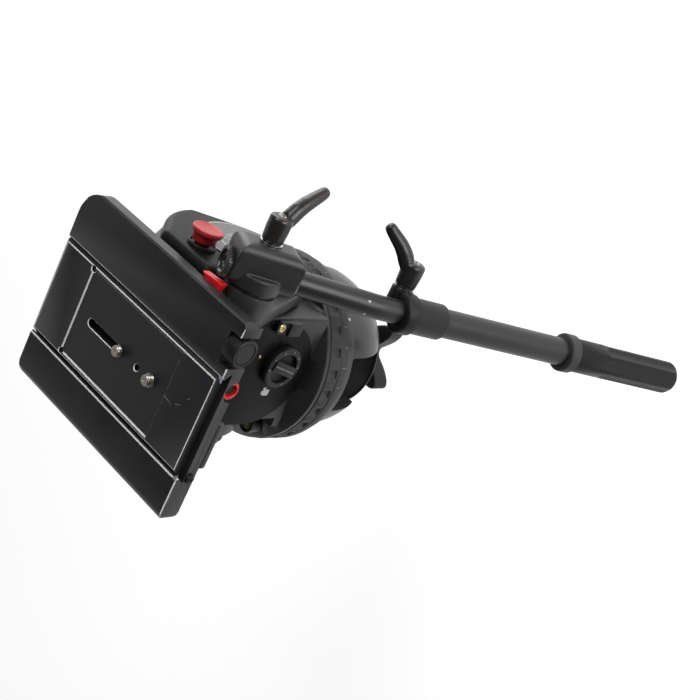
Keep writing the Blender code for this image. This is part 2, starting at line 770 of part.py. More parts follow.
def pan_drag_ring(axis):
    obj = turned(
        "pan_drag_ring",
        [
            (RING_R - RING_EDGE, RING_TOP_Z),
            (RING_R, RING_TOP_Z - RING_EDGE),
            (RING_R, RING_PAD_BOTTOM_Z),
            (NUMBER_RIM_R - RING_EDGE, NUMBER_RIM_TOP_Z),
            (NUMBER_RIM_R, RING_BOTTOM_Z + RING_EDGE),
            (NUMBER_RIM_R - RING_EDGE, RING_BOTTOM_Z),
            (RING_BORE_R, RING_BOTTOM_Z),
            (RING_BORE_R, RING_TOP_Z),
        ],
        BLACK_RUBBER,
        steps=RING_PADS * 2,
        closed=True,
    )
    bm = bmesh.new()
    low = RING_PAD_BOTTOM_Z + RING_PAD_MARGIN
    high = RING_TOP_Z - RING_PAD_MARGIN
    middle = (low + high) / 2.0
    floor_r = RING_R - RING_POCKET_DEPTH
    far_r = RING_R + OVERRUN
    for i in range(RING_PADS):
        made = bmesh.ops.create_cube(bm, size=1.0)["verts"]
        bmesh.ops.scale(bm, vec=(far_r - floor_r, RING_POCKET_WIDTH, high - low), verts=made)
        bmesh.ops.translate(bm, vec=((floor_r + far_r) / 2.0, 0.0, middle), verts=made)
        turn = Matrix.Rotation(math.radians(i * 360.0 / RING_PADS), 4, "Z")
        bmesh.ops.transform(bm, matrix=turn, verts=made)
    cut(obj, add_object("ring_pockets", finish_bmesh(bm, "ring_pockets"), None, True))
    under(obj, axis)
    return obj


def pan_core(base, pan_axis):
    """The fixed spindle that rises from the base into the panning body, with the fluid pack round it."""
    foot_z = BALL_RIM_TOP_Z + GAP
    step_z = foot_z + SPINDLE_FOOT_HEIGHT
    top_z = PAN_CAVITY_TOP_Z - GAP
    spindle = turned(
        "pan_spindle",
        [
            (0.0, top_z),
            (SPINDLE_R, top_z),
            (SPINDLE_R, step_z),
            (SPINDLE_FOOT_R, step_z),
            (SPINDLE_FOOT_R, foot_z),
            (0.0, foot_z),
        ],
        STEEL,
    )
    under(spindle, base)
    inner = SPINDLE_R + PAN_PACK_INNER_GAP
    outer = PAN_CAVITY_R - GAP
    pack = turned(
        "pan_fluid_pack",
        [(outer, top_z), (outer, PAN_PACK_BOTTOM_Z), (inner, PAN_PACK_BOTTOM_Z), (inner, top_z)],
        DARK_GREY,
        closed=True,
    )
    under(pack, pan_axis)


# Panning body
def body_outline():
    rear_angle = math.degrees(math.acos(BODY_REAR_Y / BODY_CROWN_R))
    front_angle = math.degrees(math.acos(BODY_FRONT_Y / BODY_CROWN_R))
    loop = [(BODY_FRONT_Y, BODY_BOTTOM_Z), (BODY_REAR_Y, BODY_BOTTOM_Z)]
    loop += arc((0.0, TILT_Z), BODY_CROWN_R, rear_angle, front_angle, 18)
    return loop


def pan_housing(pan_axis):
    obj = turned(
        "pan_housing",
        [
            (0.0, DRUM_TOP_Z),
            (DRUM_TOP_R, DRUM_TOP_Z),
            (DRUM_SHOULDER_R, DRUM_SHOULDER_Z),
            (DRUM_R, DRUM_EDGE_Z),
            (DRUM_R, DRUM_BOTTOM_Z),
            (PAN_CAVITY_R, DRUM_BOTTOM_Z),
            (PAN_CAVITY_R, PAN_CAVITY_TOP_Z),
            (0.0, PAN_CAVITY_TOP_Z),
        ],
        SATIN_BLACK,
    )
    left_side = (BODY_LEFT_X - CHEEK_GAP / 2.0, DRUM_R + OVERRUN, DRUM_TOP_Z + OVERRUN)
    left_far = (-DRUM_R - OVERRUN, -DRUM_R - OVERRUN, DRUM_EDGE_Z)
    cut(obj, box("left_flat", left_far, left_side, cutter=True))
    relief = rod(
        "right_relief",
        CHEEK_RIGHT_R + CHEEK_GAP,
        (BODY_RIGHT_X, 0, TILT_Z),
        (DRUM_R + OVERRUN, 0, TILT_Z),
        cutter=True,
        steps=ROUND_STEPS,
    )
    cut(obj, relief)
    block = yz_outline("body_block", body_outline(), BODY_LEFT_X, BODY_RIGHT_X, cutter=True)
    round_edges(block, BODY_EDGE, 2, 50.0)
    join(obj, block)
    reach = (BODY_RIGHT_X - BODY_LEFT_X) + 2.0 * OVERRUN
    bore = rod(
        "tilt_bore",
        BODY_BORE_R,
        (BODY_LEFT_X - OVERRUN, 0, TILT_Z),
        (BODY_LEFT_X - OVERRUN + reach, 0, TILT_Z),
        cutter=True,
        steps=40,
    )
    seat_far = DRUM_R + OVERRUN
    cut(obj, xz_outline("panel_seat", panel_outline(GAP), BODY_REAR_Y, seat_far, cutter=True))
    inside = BODY_REAR_Y - DIAL_SHAFT_INSIDE - OVERRUN
    shaft_hole = rod(
        "dial_shaft_hole",
        DIAL_SHAFT_R + GAP,
        (DIAL_X, inside - BODY_REAR_Y / 2.0, DIAL_Z),
        (DIAL_X, BODY_REAR_Y + OVERRUN, DIAL_Z),
        cutter=True,
        steps=TINY_STEPS,
    )
    seat = rod(
        "level_seat",
        LEVEL_R + GAP,
        (LEVEL_X, LEVEL_Y, LEVEL_SEAT_Z),
        (LEVEL_X, LEVEL_Y, LEVEL_TOP_Z + OVERRUN),
        cutter=True,
    )
    screw_hole = rod(
        "brake_screw_hole",
        BRAKE_SCREW_R + GAP,
        (BRAKE_X, BODY_REAR_Y - BRAKE_SCREW_DEPTH, BRAKE_Z),
        (BRAKE_X, BODY_REAR_Y + OVERRUN, BRAKE_Z),
        cutter=True,
        steps=TINY_STEPS,
    )
    mark_hole = rod(
        "mark_hole",
        DIAL_MARK_R + GAP,
        (DIAL_MARK_X, BODY_REAR_Y - DIAL_SHAFT_SEAT, DIAL_MARK_Z),
        (DIAL_MARK_X, BODY_REAR_Y + OVERRUN, DIAL_MARK_Z),
        cutter=True,
        steps=TINY_STEPS,
    )
    cut(obj, bore, shaft_hole, seat, screw_hole, mark_hole)
    under(obj, pan_axis)
    return obj


def panel_outline(margin):
    """The round-bottomed (x, z) outline of the rear panel, grown by a margin."""
    radius = PANEL_R + margin
    left = BODY_LEFT_X + BODY_EDGE - margin
    from_deg = -math.degrees(math.acos((left - PANEL_CENTRE_X) / radius))
    loop = [(left, PANEL_TOP_Z)]
    loop += arc((PANEL_CENTRE_X, PANEL_CENTRE_Z), radius, from_deg, 0.0, 26)
    loop += [
        (PANEL_CENTRE_X + radius, (PANEL_CENTRE_Z + PANEL_TOP_Z) / 2.0),
        (PANEL_TOP_RIGHT_X, PANEL_TOP_Z),
    ]
    return loop


def rear_panel(pan_axis):
    obj = xz_outline("rear_panel", panel_outline(0.0), BODY_REAR_Y + GAP, PANEL_FACE_Y, SATIN_BLACK)
    past_front = BODY_REAR_Y - OVERRUN
    past_face = PANEL_FACE_Y + OVERRUN
    holes = (
        ("panel_dial_hole", DIAL_SHAFT_R, DIAL_X, DIAL_Z),
        ("panel_mark_hole", DIAL_MARK_R, DIAL_MARK_X, DIAL_MARK_Z),
        ("panel_brake_hole", BRAKE_SCREW_R, BRAKE_X, BRAKE_Z),
    )
    for name, radius, x, z in holes:
        hole = rod(name, radius + GAP, (x, past_front, z), (x, past_face, z), cutter=True, steps=TINY_STEPS)
        cut(obj, hole)
    under(obj, pan_axis)
    mark = rod(
        "dial_index_dot",
        DIAL_MARK_R,
        (DIAL_MARK_X, BODY_REAR_Y - DIAL_SHAFT_SEAT + GAP, DIAL_MARK_Z),
        (DIAL_MARK_X, PANEL_FACE_Y + DIAL_MARK_PROUD, DIAL_MARK_Z),
        BRASS,
        steps=TINY_STEPS,
    )
    under(mark, pan_axis)


def counterbalance_dial(dial_axis):
    back = PANEL_FACE_Y + GAP
    face = back + DIAL_HEIGHT
    inner_r = DIAL_R - DIAL_RIM
    obj = turned(
        "counterbalance_dial",
        [
            (0.0, DIAL_HEIGHT),
            (DIAL_R - DIAL_EDGE, DIAL_HEIGHT),
            (DIAL_R, DIAL_HEIGHT - DIAL_EDGE),
            (DIAL_R, 0.0),
            (0.0, 0.0),
        ],
        BLACK_PLASTIC,
        steps=40,
    )
    aim(obj, (DIAL_X, back, DIAL_Z), (0, 1, 0), (1, 0, 0))
    turn = math.radians(DIAL_RIDGE_DEG)
    along = Vector((math.cos(turn), 0.0, math.sin(turn)))
    half = DIAL_RIDGE / 2.0
    start_deg = math.degrees(math.asin(half / inner_r))
    for sign, name in ((1.0, "dial_pocket_upper"), (-1.0, "dial_pocket_lower")):
        loop = arc((0.0, 0.0), inner_r, start_deg, 180.0 - start_deg, 14)
        depth = DIAL_POCKET_DEPTH + OVERRUN
        origin = Vector((DIAL_X, face + OVERRUN - depth / 2.0, DIAL_Z))
        pocket = outline(name, [loop], depth, origin, (0, -1, 0), along * sign, cutter=True)
        cut(obj, pocket)
    bm = bmesh.new()
    bmesh.ops.create_cube(bm, size=1.0)
    ridge_height = DIAL_POCKET_DEPTH + DIAL_RIDGE_PROUD
    bmesh.ops.scale(bm, vec=(2.0 * (inner_r - GAP), DIAL_RIDGE, ridge_height), verts=bm.verts)
    ridge = add_object("dial_ridge", finish_bmesh(bm, "dial_ridge"), None, True)
    middle = (DIAL_X, face + DIAL_RIDGE_PROUD - ridge_height / 2.0, DIAL_Z)
    aim(ridge, middle, (0, 1, 0), along)
    round_edges(ridge, DIAL_EDGE, 1, 50.0)
    join(obj, ridge)
    hole_end = back + DIAL_SHAFT_SEAT + GAP
    hole = rod(
        "dial_blind_hole",
        DIAL_SHAFT_R + GAP,
        (DIAL_X, back - OVERRUN, DIAL_Z),
        (DIAL_X, hole_end, DIAL_Z),
        cutter=True,
        steps=TINY_STEPS,
    )
    cut(obj, hole)
    under(obj, dial_axis)
    shaft = rod(
        "dial_shaft",
        DIAL_SHAFT_R,
        (DIAL_X, BODY_REAR_Y - DIAL_SHAFT_INSIDE, DIAL_Z),
        (DIAL_X, back + DIAL_SHAFT_SEAT, DIAL_Z),
        STEEL,
        steps=TINY_STEPS,
    )
    under(shaft, dial_axis)


def bubble_level(pan_axis):
    bottom = LEVEL_SEAT_Z + GAP
    pocket_r = LEVEL_VIAL_R + GAP
    cup = turned(
        "level_housing",
        [
            (0.0, LEVEL_TOP_Z - LEVEL_POCKET),
            (pocket_r, LEVEL_TOP_Z - LEVEL_POCKET),
            (pocket_r, LEVEL_TOP_Z),
            (LEVEL_R, LEVEL_TOP_Z),
            (LEVEL_R, bottom),
            (0.0, bottom),
        ],
        BLACK_PLASTIC,
        steps=SMALL_STEPS,
    )
    cup.location = (LEVEL_X, LEVEL_Y, 0.0)
    under(cup, pan_axis)
    vial = rod(
        "level_vial",
        LEVEL_VIAL_R,
        (LEVEL_X, LEVEL_Y, LEVEL_TOP_Z - LEVEL_POCKET + GAP),
        (LEVEL_X, LEVEL_Y, LEVEL_TOP_Z - LEVEL_VIAL_SUNK),
        VIAL_GREEN,
        steps=24,
    )
    under(vial, pan_axis)


def pan_brake(brake_axis):
    back = PANEL_FACE_Y + GAP
    half = BRAKE_WIDTH / 2.0
    foot = BRAKE_Z - BRAKE_REACH
    crown = BRAKE_Z + BRAKE_HUB_R
    hub_face = back + BRAKE_HUB_THICKNESS
    loop = [
        (BRAKE_X + half - BRAKE_CORNER, crown),
        (BRAKE_X - half + BRAKE_CORNER, crown),
        (BRAKE_X - half, crown - BRAKE_CORNER),
        (BRAKE_X - half, foot + BRAKE_EDGE),
        (BRAKE_X - half + BRAKE_EDGE, foot),
        (BRAKE_X + half, foot),
        (BRAKE_X + half, crown - BRAKE_CORNER),
    ]
    obj = xz_outline("pan_brake_lever", loop, back, back + BRAKE_THICKNESS, BLACK_PLASTIC)
    step_low = (BRAKE_X - half - OVERRUN, hub_face, BRAKE_Z - BRAKE_HUB_R)
    step_high = (BRAKE_X + half + OVERRUN, back + BRAKE_THICKNESS + OVERRUN, crown + OVERRUN)
    cut(obj, box("brake_step", step_low, step_high, cutter=True))
    round_edges(obj, BRAKE_EDGE, 1, 50.0)
    head_floor = hub_face - BRAKE_SCREW_HEAD
    hole = rod(
        "brake_hole",
        BRAKE_SCREW_R + GAP,
        (BRAKE_X, back - OVERRUN, BRAKE_Z),
        (BRAKE_X, hub_face + OVERRUN, BRAKE_Z),
        cutter=True,
        steps=TINY_STEPS,
    )
    sink = rod(
        "brake_counterbore",
        BRAKE_SCREW_HEAD_R + GAP,
        (BRAKE_X, head_floor - GAP, BRAKE_Z),
        (BRAKE_X, hub_face + OVERRUN, BRAKE_Z),
        cutter=True,
        steps=TINY_STEPS,
    )
    cut(obj, hole, sink)
    under(obj, brake_axis)
    screw = turned(
        "brake_screw",
        [
            (0.0, BRAKE_SCREW_HEAD),
            (BRAKE_SCREW_HEAD_R, BRAKE_SCREW_HEAD),
            (BRAKE_SCREW_HEAD_R, 0.0),
            (BRAKE_SCREW_R, 0.0),
            (BRAKE_SCREW_R, BODY_REAR_Y - BRAKE_SCREW_DEPTH + GAP - head_floor),
            (0.0, BODY_REAR_Y - BRAKE_SCREW_DEPTH + GAP - head_floor),
        ],
        BRASS,
        steps=TINY_STEPS,
    )
    aim(screw, (BRAKE_X, head_floor, BRAKE_Z), (0, 1, 0), (1, 0, 0))
    under(screw, brake_axis)


def tilt_core(pan_axis, tilt_axis):
    """The axle that turns with the yoke, and the two packs that the body holds round it."""
    start = LEFT_CHEEK_OUTER_X + GAP
    end = RIGHT_CHEEK_OUTER_X - GAP
    axle = rod("tilt_axle", AXLE_R, (start, 0, TILT_Z), (end, 0, TILT_Z), STEEL)
    under(axle, tilt_axis)
    middle = (BODY_LEFT_X + BODY_RIGHT_X) / 2.0
    packs = (
        ("counterbalance_spring_pack", BODY_LEFT_X, middle - GAP),
        ("tilt_fluid_pack", middle + GAP, BODY_RIGHT_X),
    )
    outer = BODY_BORE_R - GAP
    inner = AXLE_R + PAN_PACK_INNER_GAP
    for name, from_x, to_x in packs:
        length = to_x - from_x
        pack = turned(
            name,
            [(outer, length), (outer, 0.0), (inner, 0.0), (inner, length)],
            DARK_GREY,
            steps=40,
            closed=True,
        )
        aim(pack, (from_x, 0, TILT_Z), (1, 0, 0), (0, 1, 0))
        under(pack, pan_axis)


# Tilting yoke
def cheeks(tilt_axis):
    disc = arc((0.0, TILT_Z), CHEEK_R, 0.0, 360.0, 40)
    disc += arc((0.0, TILT_Z), CHEEK_BULGE_R, CHEEK_BULGE_FROM_DEG, CHEEK_BULGE_TO_DEG, 8)
    hub = arc((ROSETTE_Y, ROSETTE_Z), ROSETTE_R, 0.0, 360.0, 24)
    top = [(CHEEK_TOP_FRONT_Y, CHEEK_TOP_Z), (CHEEK_TOP_REAR_Y, CHEEK_TOP_Z)]
    left = yz_outline("cheek_left", hull(disc + hub + top), LEFT_CHEEK_OUTER_X, LEFT_CHEEK_INNER_X, DARK_GREY)
    boss = rod(
        "rosette_boss",
        ROSETTE_R,
        (LEFT_CHEEK_INNER_X - CHEEK_THICKNESS / 2.0, ROSETTE_Y, ROSETTE_Z),
        (ROSETTE_FACE_X, ROSETTE_Y, ROSETTE_Z),
        cutter=True,
    )
    join(left, boss)
    outside = LEFT_CHEEK_OUTER_X - OVERRUN
    inside = LEFT_CHEEK_INNER_X + OVERRUN
    cut(
        left,
        rod("left_axle_hole", AXLE_R + GAP, (outside, 0, TILT_Z), (inside, 0, TILT_Z), cutter=True),
        rod(
            "bolt_hole",
            BOLT_R + GAP,
            (ROSETTE_FACE_X - OVERRUN, ROSETTE_Y, ROSETTE_Z),
            (inside, ROSETTE_Y, ROSETTE_Z),
            cutter=True,
            steps=24,
        ),
    )
    under(left, tilt_axis)
    disc = arc((0.0, TILT_Z), CHEEK_RIGHT_R, 0.0, 360.0, 40)
    top = [(CHEEK_TOP_FRONT_Y, CHEEK_TOP_Z), (CHEEK_RIGHT_REAR_Y, CHEEK_TOP_Z)]
    right = yz_outline("cheek_right", hull(disc + top), RIGHT_CHEEK_INNER_X, RIGHT_CHEEK_OUTER_X, DARK_GREY)
    round_edges(right, CHEEK_EDGE, 2, 50.0)
    start = (RIGHT_CHEEK_INNER_X - OVERRUN, 0, TILT_Z)
    end = (RIGHT_CHEEK_OUTER_X + OVERRUN, 0, TILT_Z)
    cut(right, rod("right_axle_hole", AXLE_R + GAP, start, end, cutter=True))
    under(right, tilt_axis)


def side_cover(tilt_axis):
    disc = arc((0.0, TILT_Z), CHEEK_R - COVER_INSET, 0.0, 360.0, 40)
    bulge = CHEEK_BULGE_R - COVER_INSET
    disc += arc((0.0, TILT_Z), bulge, CHEEK_BULGE_FROM_DEG, CHEEK_BULGE_TO_DEG, 8)
    front = CHEEK_TOP_FRONT_Y + COVER_INSET
    rear = ROSETTE_Y - ROSETTE_R - COVER_EDGE
    loop = hull(disc + [(front, COVER_TOP_Z), (rear, COVER_TOP_Z)])
    inner = LEFT_CHEEK_OUTER_X - GAP
    obj = yz_outline("side_cover_left", loop, COVER_OUTER_X, inner + COVER_EDGE, DARK_GREY)
    round_edges(obj, COVER_EDGE, 3, 50.0)
    trim = box(
        "cover_trim",
        (inner, -PLATFORM_HALF_WIDTH, 0.0),
        (inner + COVER_EDGE + OVERRUN, PLATFORM_HALF_WIDTH, PLATFORM_TOP_Z),
        cutter=True,
    )
    bite = rod(
        "rosette_bite",
        ROSETTE_R + GAP,
        (COVER_OUTER_X - OVERRUN, ROSETTE_Y, ROSETTE_Z),
        (inner + OVERRUN, ROSETTE_Y, ROSETTE_Z),
        cutter=True,
    )
    stem_end = inner + OVERRUN
    stem_hole = rod(
        "button_stem_hole",
        BUTTON_STEM_R + GAP,
        (COVER_OUTER_X - OVERRUN, BUTTON_Y, BUTTON_Z),
        (stem_end, BUTTON_Y, BUTTON_Z),
        cutter=True,
        steps=24,
    )
    cut(obj, trim, bite, stem_hole)
    under(obj, tilt_axis)
    inner_arc = arc((0.0, TILT_Z), LABEL_INNER_R, LABEL_TO_DEG, LABEL_FROM_DEG, 16)
    outer_arc = arc((0.0, TILT_Z), LABEL_OUTER_R, LABEL_FROM_DEG, LABEL_TO_DEG, 24)
    face = COVER_OUTER_X - GAP
    label = yz_outline("scale_label", outer_arc + inner_arc, face - LABEL_THICKNESS, face, GREY_LABEL)
    under(label, tilt_axis)


def tilt_lock_button(button_axis, tilt_axis):
    face = COVER_OUTER_X - GAP
    nut = turned(
        "button_collar",
        [
            (COLLAR_NUT_R, COLLAR_NUT),
            (COLLAR_NUT_R, 0.0),
            (BUTTON_STEM_R + GAP, 0.0),
            (BUTTON_STEM_R + GAP, COLLAR_NUT),
        ],
        BLACK_PLASTIC,
        steps=24,
        closed=True,
    )
    aim(nut, (face, BUTTON_Y, BUTTON_Z), (-1, 0, 0), (0, 1, 0))
    under(nut, tilt_axis)
    neck_start = COLLAR_NUT + GAP + BUTTON_TRAVEL
    neck_end = neck_start + BUTTON_NECK
    cap_end = neck_end + BUTTON_CAP
    button = turned(
        "tilt_lock_button",
        [
            (0.0, cap_end),
            (BUTTON_CAP_R / 2.0, cap_end - BUTTON_CROWN / 4.0),
            (BUTTON_CAP_R - BUTTON_CROWN, cap_end - BUTTON_CROWN),
            (BUTTON_CAP_R, cap_end - 2.0 * BUTTON_CROWN),
            (BUTTON_CAP_R - BUTTON_CROWN, neck_end),
            (BUTTON_NECK_R, neck_end - BUTTON_CROWN),
            (BUTTON_NECK_R, neck_start),
            (BUTTON_STEM_R, neck_start),
            (BUTTON_STEM_R, -BUTTON_STEM + BUTTON_TRAVEL),
            (0.0, -BUTTON_STEM + BUTTON_TRAVEL),
        ],
        RED_PLASTIC,
        steps=SMALL_STEPS,
    )
    aim(button, (face, BUTTON_Y, BUTTON_Z), (-1, 0, 0), (0, 1, 0))
    under(button, button_axis)


def tilt_drag_ring(ring_axis):
    inner_x = RIGHT_CHEEK_OUTER_X + GAP
    obj = turned(
        "tilt_drag_ring",
        [
            (TILT_RING_R - TILT_RING_EDGE, TILT_RING_WIDTH),
            (TILT_RING_R, TILT_RING_WIDTH - TILT_RING_EDGE),
            (TILT_RING_R, 0.0),
            (TILT_RING_BORE_R, 0.0),
            (TILT_RING_BORE_R, TILT_RING_WIDTH),
        ],
        BLACK_RUBBER,
        steps=40,
        closed=True,
    )
    aim(obj, (inner_x, 0, TILT_Z), (1, 0, 0), (0, 1, 0))
    bm = bmesh.new()
    for i in range(TILT_RING_NOTCHES):
        angle = 2.0 * math.pi * i / TILT_RING_NOTCHES
        made = bmesh.ops.create_cone(
            bm,
            cap_ends=True,
            segments=8,
            radius1=TILT_RING_NOTCH_R,
            radius2=TILT_RING_NOTCH_R,
            depth=TILT_RING_WIDTH + 2.0 * OVERRUN,
        )["verts"]
        out = TILT_RING_R + TILT_RING_NOTCH_R / 2.0
        place = Matrix.Translation(
            (inner_x + TILT_RING_WIDTH / 2.0, out * math.cos(angle), TILT_Z + out * math.sin(angle))
        )
        bmesh.ops.transform(bm, matrix=place @ Matrix.Rotation(math.pi / 2.0, 4, "Y"), verts=made)
    cut(obj, add_object("tilt_ring_notches", finish_bmesh(bm, "tilt_ring_notches"), None, True))
    under(obj, ring_axis)
    hub = turned(
        "tilt_ring_hub",
        [
            (0.0, TILT_RING_WIDTH),
            (TILT_RING_BORE_R - GAP - TILT_RING_EDGE, TILT_RING_WIDTH),
            (TILT_RING_BORE_R - GAP, TILT_RING_WIDTH - TILT_RING_EDGE),
            (TILT_RING_BORE_R - GAP, 0.0),
            (0.0, 0.0),
        ],
        SATIN_BLACK,
        steps=SMALL_STEPS,
    )
    aim(hub, (inner_x, 0, TILT_Z), (1, 0, 0), (0, 1, 0))
    return hub


# Camera platform
def platform_section():
    """The (x, z) section across both wings and the dovetail channel between them."""
    top = PLATFORM_TOP_Z
    bottom = PLATFORM_BOTTOM_Z
    half = PLATFORM_HALF_WIDTH
    centre = PLATE_CENTRE_X
    floor = top - PLATE_THICKNESS - PLATE_CLEARANCE
    slope = PLATE_THICKNESS - PLATE_FOOT
    nose = PLATE_HALF_TOP + PLATE_LIP_DEPTH + PLATE_CLEARANCE
    mouth = nose + PLATE_LIP_DEPTH
    undercut = PLATE_HALF_TOP + slope + PLATE_CLEARANCE
    under_z = top - slope
    loop = [
        (-half + PLATFORM_STEP_IN, bottom),
        (-half + PLATFORM_STEP_IN, bottom + PLATFORM_STEP_UP),
        (-half, bottom + PLATFORM_STEP_UP + PLATFORM_STEP_SLOPE),
        (-half, top - PLATFORM_TOP_CHAMFER),
        (-half + PLATFORM_TOP_CHAMFER, top),
        (centre - mouth, top),
        (centre - nose, top - PLATE_LIP_DEPTH),
        (centre - undercut, under_z),
        (centre - undercut, floor),
        (centre + undercut, floor),
        (centre + undercut, under_z),
        (centre + nose, top - PLATE_LIP_DEPTH),
        (centre + mouth, top),
    ]
    nose_x = half + PLATFORM_NOSE_OUT - PLATFORM_NOSE_R
    upper = (nose_x, top - PLATFORM_NOSE_R)
    lower = (nose_x, bottom + PLATFORM_NOSE_R)
    loop += arc(upper, PLATFORM_NOSE_R, 90.0, 0.0, 5)
    loop += arc(lower, PLATFORM_NOSE_R, 0.0, -90.0, 5)
    return list(reversed(loop))


def platform_plan():
    """The (x, y) outline with its four corner radii."""
    rear, front = PLATFORM_REAR_Y, PLATFORM_FRONT_Y
    edge = PLATFORM_HALF_WIDTH
    nose = edge + PLATFORM_NOSE_OUT
    loop = arc((-edge + FRONT_LEFT_R, front + FRONT_LEFT_R), FRONT_LEFT_R, 180.0, 270.0, 8)
    loop += arc((nose - FRONT_RIGHT_R, front + FRONT_RIGHT_R), FRONT_RIGHT_R, 270.0, 360.0, 6)
    loop += arc((nose - REAR_CORNER_R, rear - REAR_CORNER_R), REAR_CORNER_R, 0.0, 90.0, 4)
    loop += arc((-edge + REAR_CORNER_R, rear - REAR_CORNER_R), REAR_CORNER_R, 90.0, 180.0, 4)
    return loop


def platform(tilt_axis):
    obj = xz_outline(
        "platform", platform_section(), PLATFORM_FRONT_Y - OVERRUN, PLATFORM_REAR_Y + OVERRUN, BLACK_ANODISED
    )
    plan = xy_outline(
        "platform_plan", platform_plan(), PLATFORM_BOTTOM_Z - OVERRUN, PLATFORM_TOP_Z + OVERRUN, cutter=True
    )
    boolean(obj, plan, "INTERSECT")
    side = LOCK_KNOB_R + LOCK_NOTCH_SIDE
    notch = box(
        "lock_notch",
        (LOCK_KNOB_X - side, LOCK_KNOB_FRONT_Y - GAP, PLATFORM_BOTTOM_Z - OVERRUN),
        (LOCK_KNOB_X + side, PLATFORM_REAR_Y + OVERRUN, PLATFORM_TOP_Z + OVERRUN),
        cutter=True,
    )
    shaft_hole = rod(
        "lock_shaft_hole",
        LOCK_SHAFT_R + GAP,
        (LOCK_KNOB_X, LOCK_KNOB_FRONT_Y - LOCK_SHAFT_LENGTH - GAP, LOCK_KNOB_Z),
        (LOCK_KNOB_X, LOCK_KNOB_FRONT_Y + OVERRUN, LOCK_KNOB_Z),
        cutter=True,
        steps=TINY_STEPS,
    )
    catch_z = PLATFORM_BOTTOM_Z + CATCH_DROP
    catch_back = PLATFORM_REAR_Y - CATCH_DEPTH - CATCH_TRAVEL - GAP
    catch_notch = rod(
        "catch_notch",
        CATCH_NOTCH_R,
        (CATCH_X, catch_back, catch_z),
        (CATCH_X, PLATFORM_REAR_Y + OVERRUN, catch_z),
        cutter=True,
    )
    stem_z = catch_z + CATCH_STEM_RISE
    stem_hole = rod(
        "catch_stem_hole",
        CATCH_STEM_R + GAP,
        (CATCH_X, catch_back - CATCH_STEM_LENGTH - GAP, stem_z),
        (CATCH_X, catch_back + OVERRUN, stem_z),
        cutter=True,
        steps=TINY_STEPS,
    )
    screw_z = (PLATFORM_TOP_Z - PLATE_THICKNESS + PLATFORM_BOTTOM_Z) / 2.0
    screw_hole = rod(
        "stop_screw_hole",
        STOP_SCREW_SHANK_R + GAP,
        (STOP_SCREW_X, PLATFORM_REAR_Y - STOP_SCREW_SHANK - GAP, screw_z),
        (STOP_SCREW_X, PLATFORM_REAR_Y + OVERRUN, screw_z),
        cutter=True,
        steps=TINY_STEPS,
    )
    pin_seat_z = PLATFORM_BOTTOM_Z + RELEASE_POCKET_HEIGHT + RELEASE_PIN_SEAT
    pin_hole = rod(
        "release_pin_hole",
        RELEASE_PIN_R + GAP,
        (RELEASE_PIVOT_X, RELEASE_PIVOT_Y, PLATFORM_BOTTOM_Z - OVERRUN),
        (RELEASE_PIVOT_X, RELEASE_PIVOT_Y, pin_seat_z + GAP),
        cutter=True,
        steps=TINY_STEPS,
    )
    lever_pocket = box(
        "release_pocket",
        (-PLATFORM_HALF_WIDTH - OVERRUN, RELEASE_POCKET_FRONT_Y, PLATFORM_BOTTOM_Z - OVERRUN),
        (RELEASE_POCKET_INNER_X, RELEASE_POCKET_REAR_Y, PLATFORM_BOTTOM_Z + RELEASE_POCKET_HEIGHT),
        cutter=True,
    )
    cut(obj, notch, shaft_hole, catch_notch, stem_hole, screw_hole, lever_pocket, pin_hole)
    under(obj, tilt_axis)
    return obj


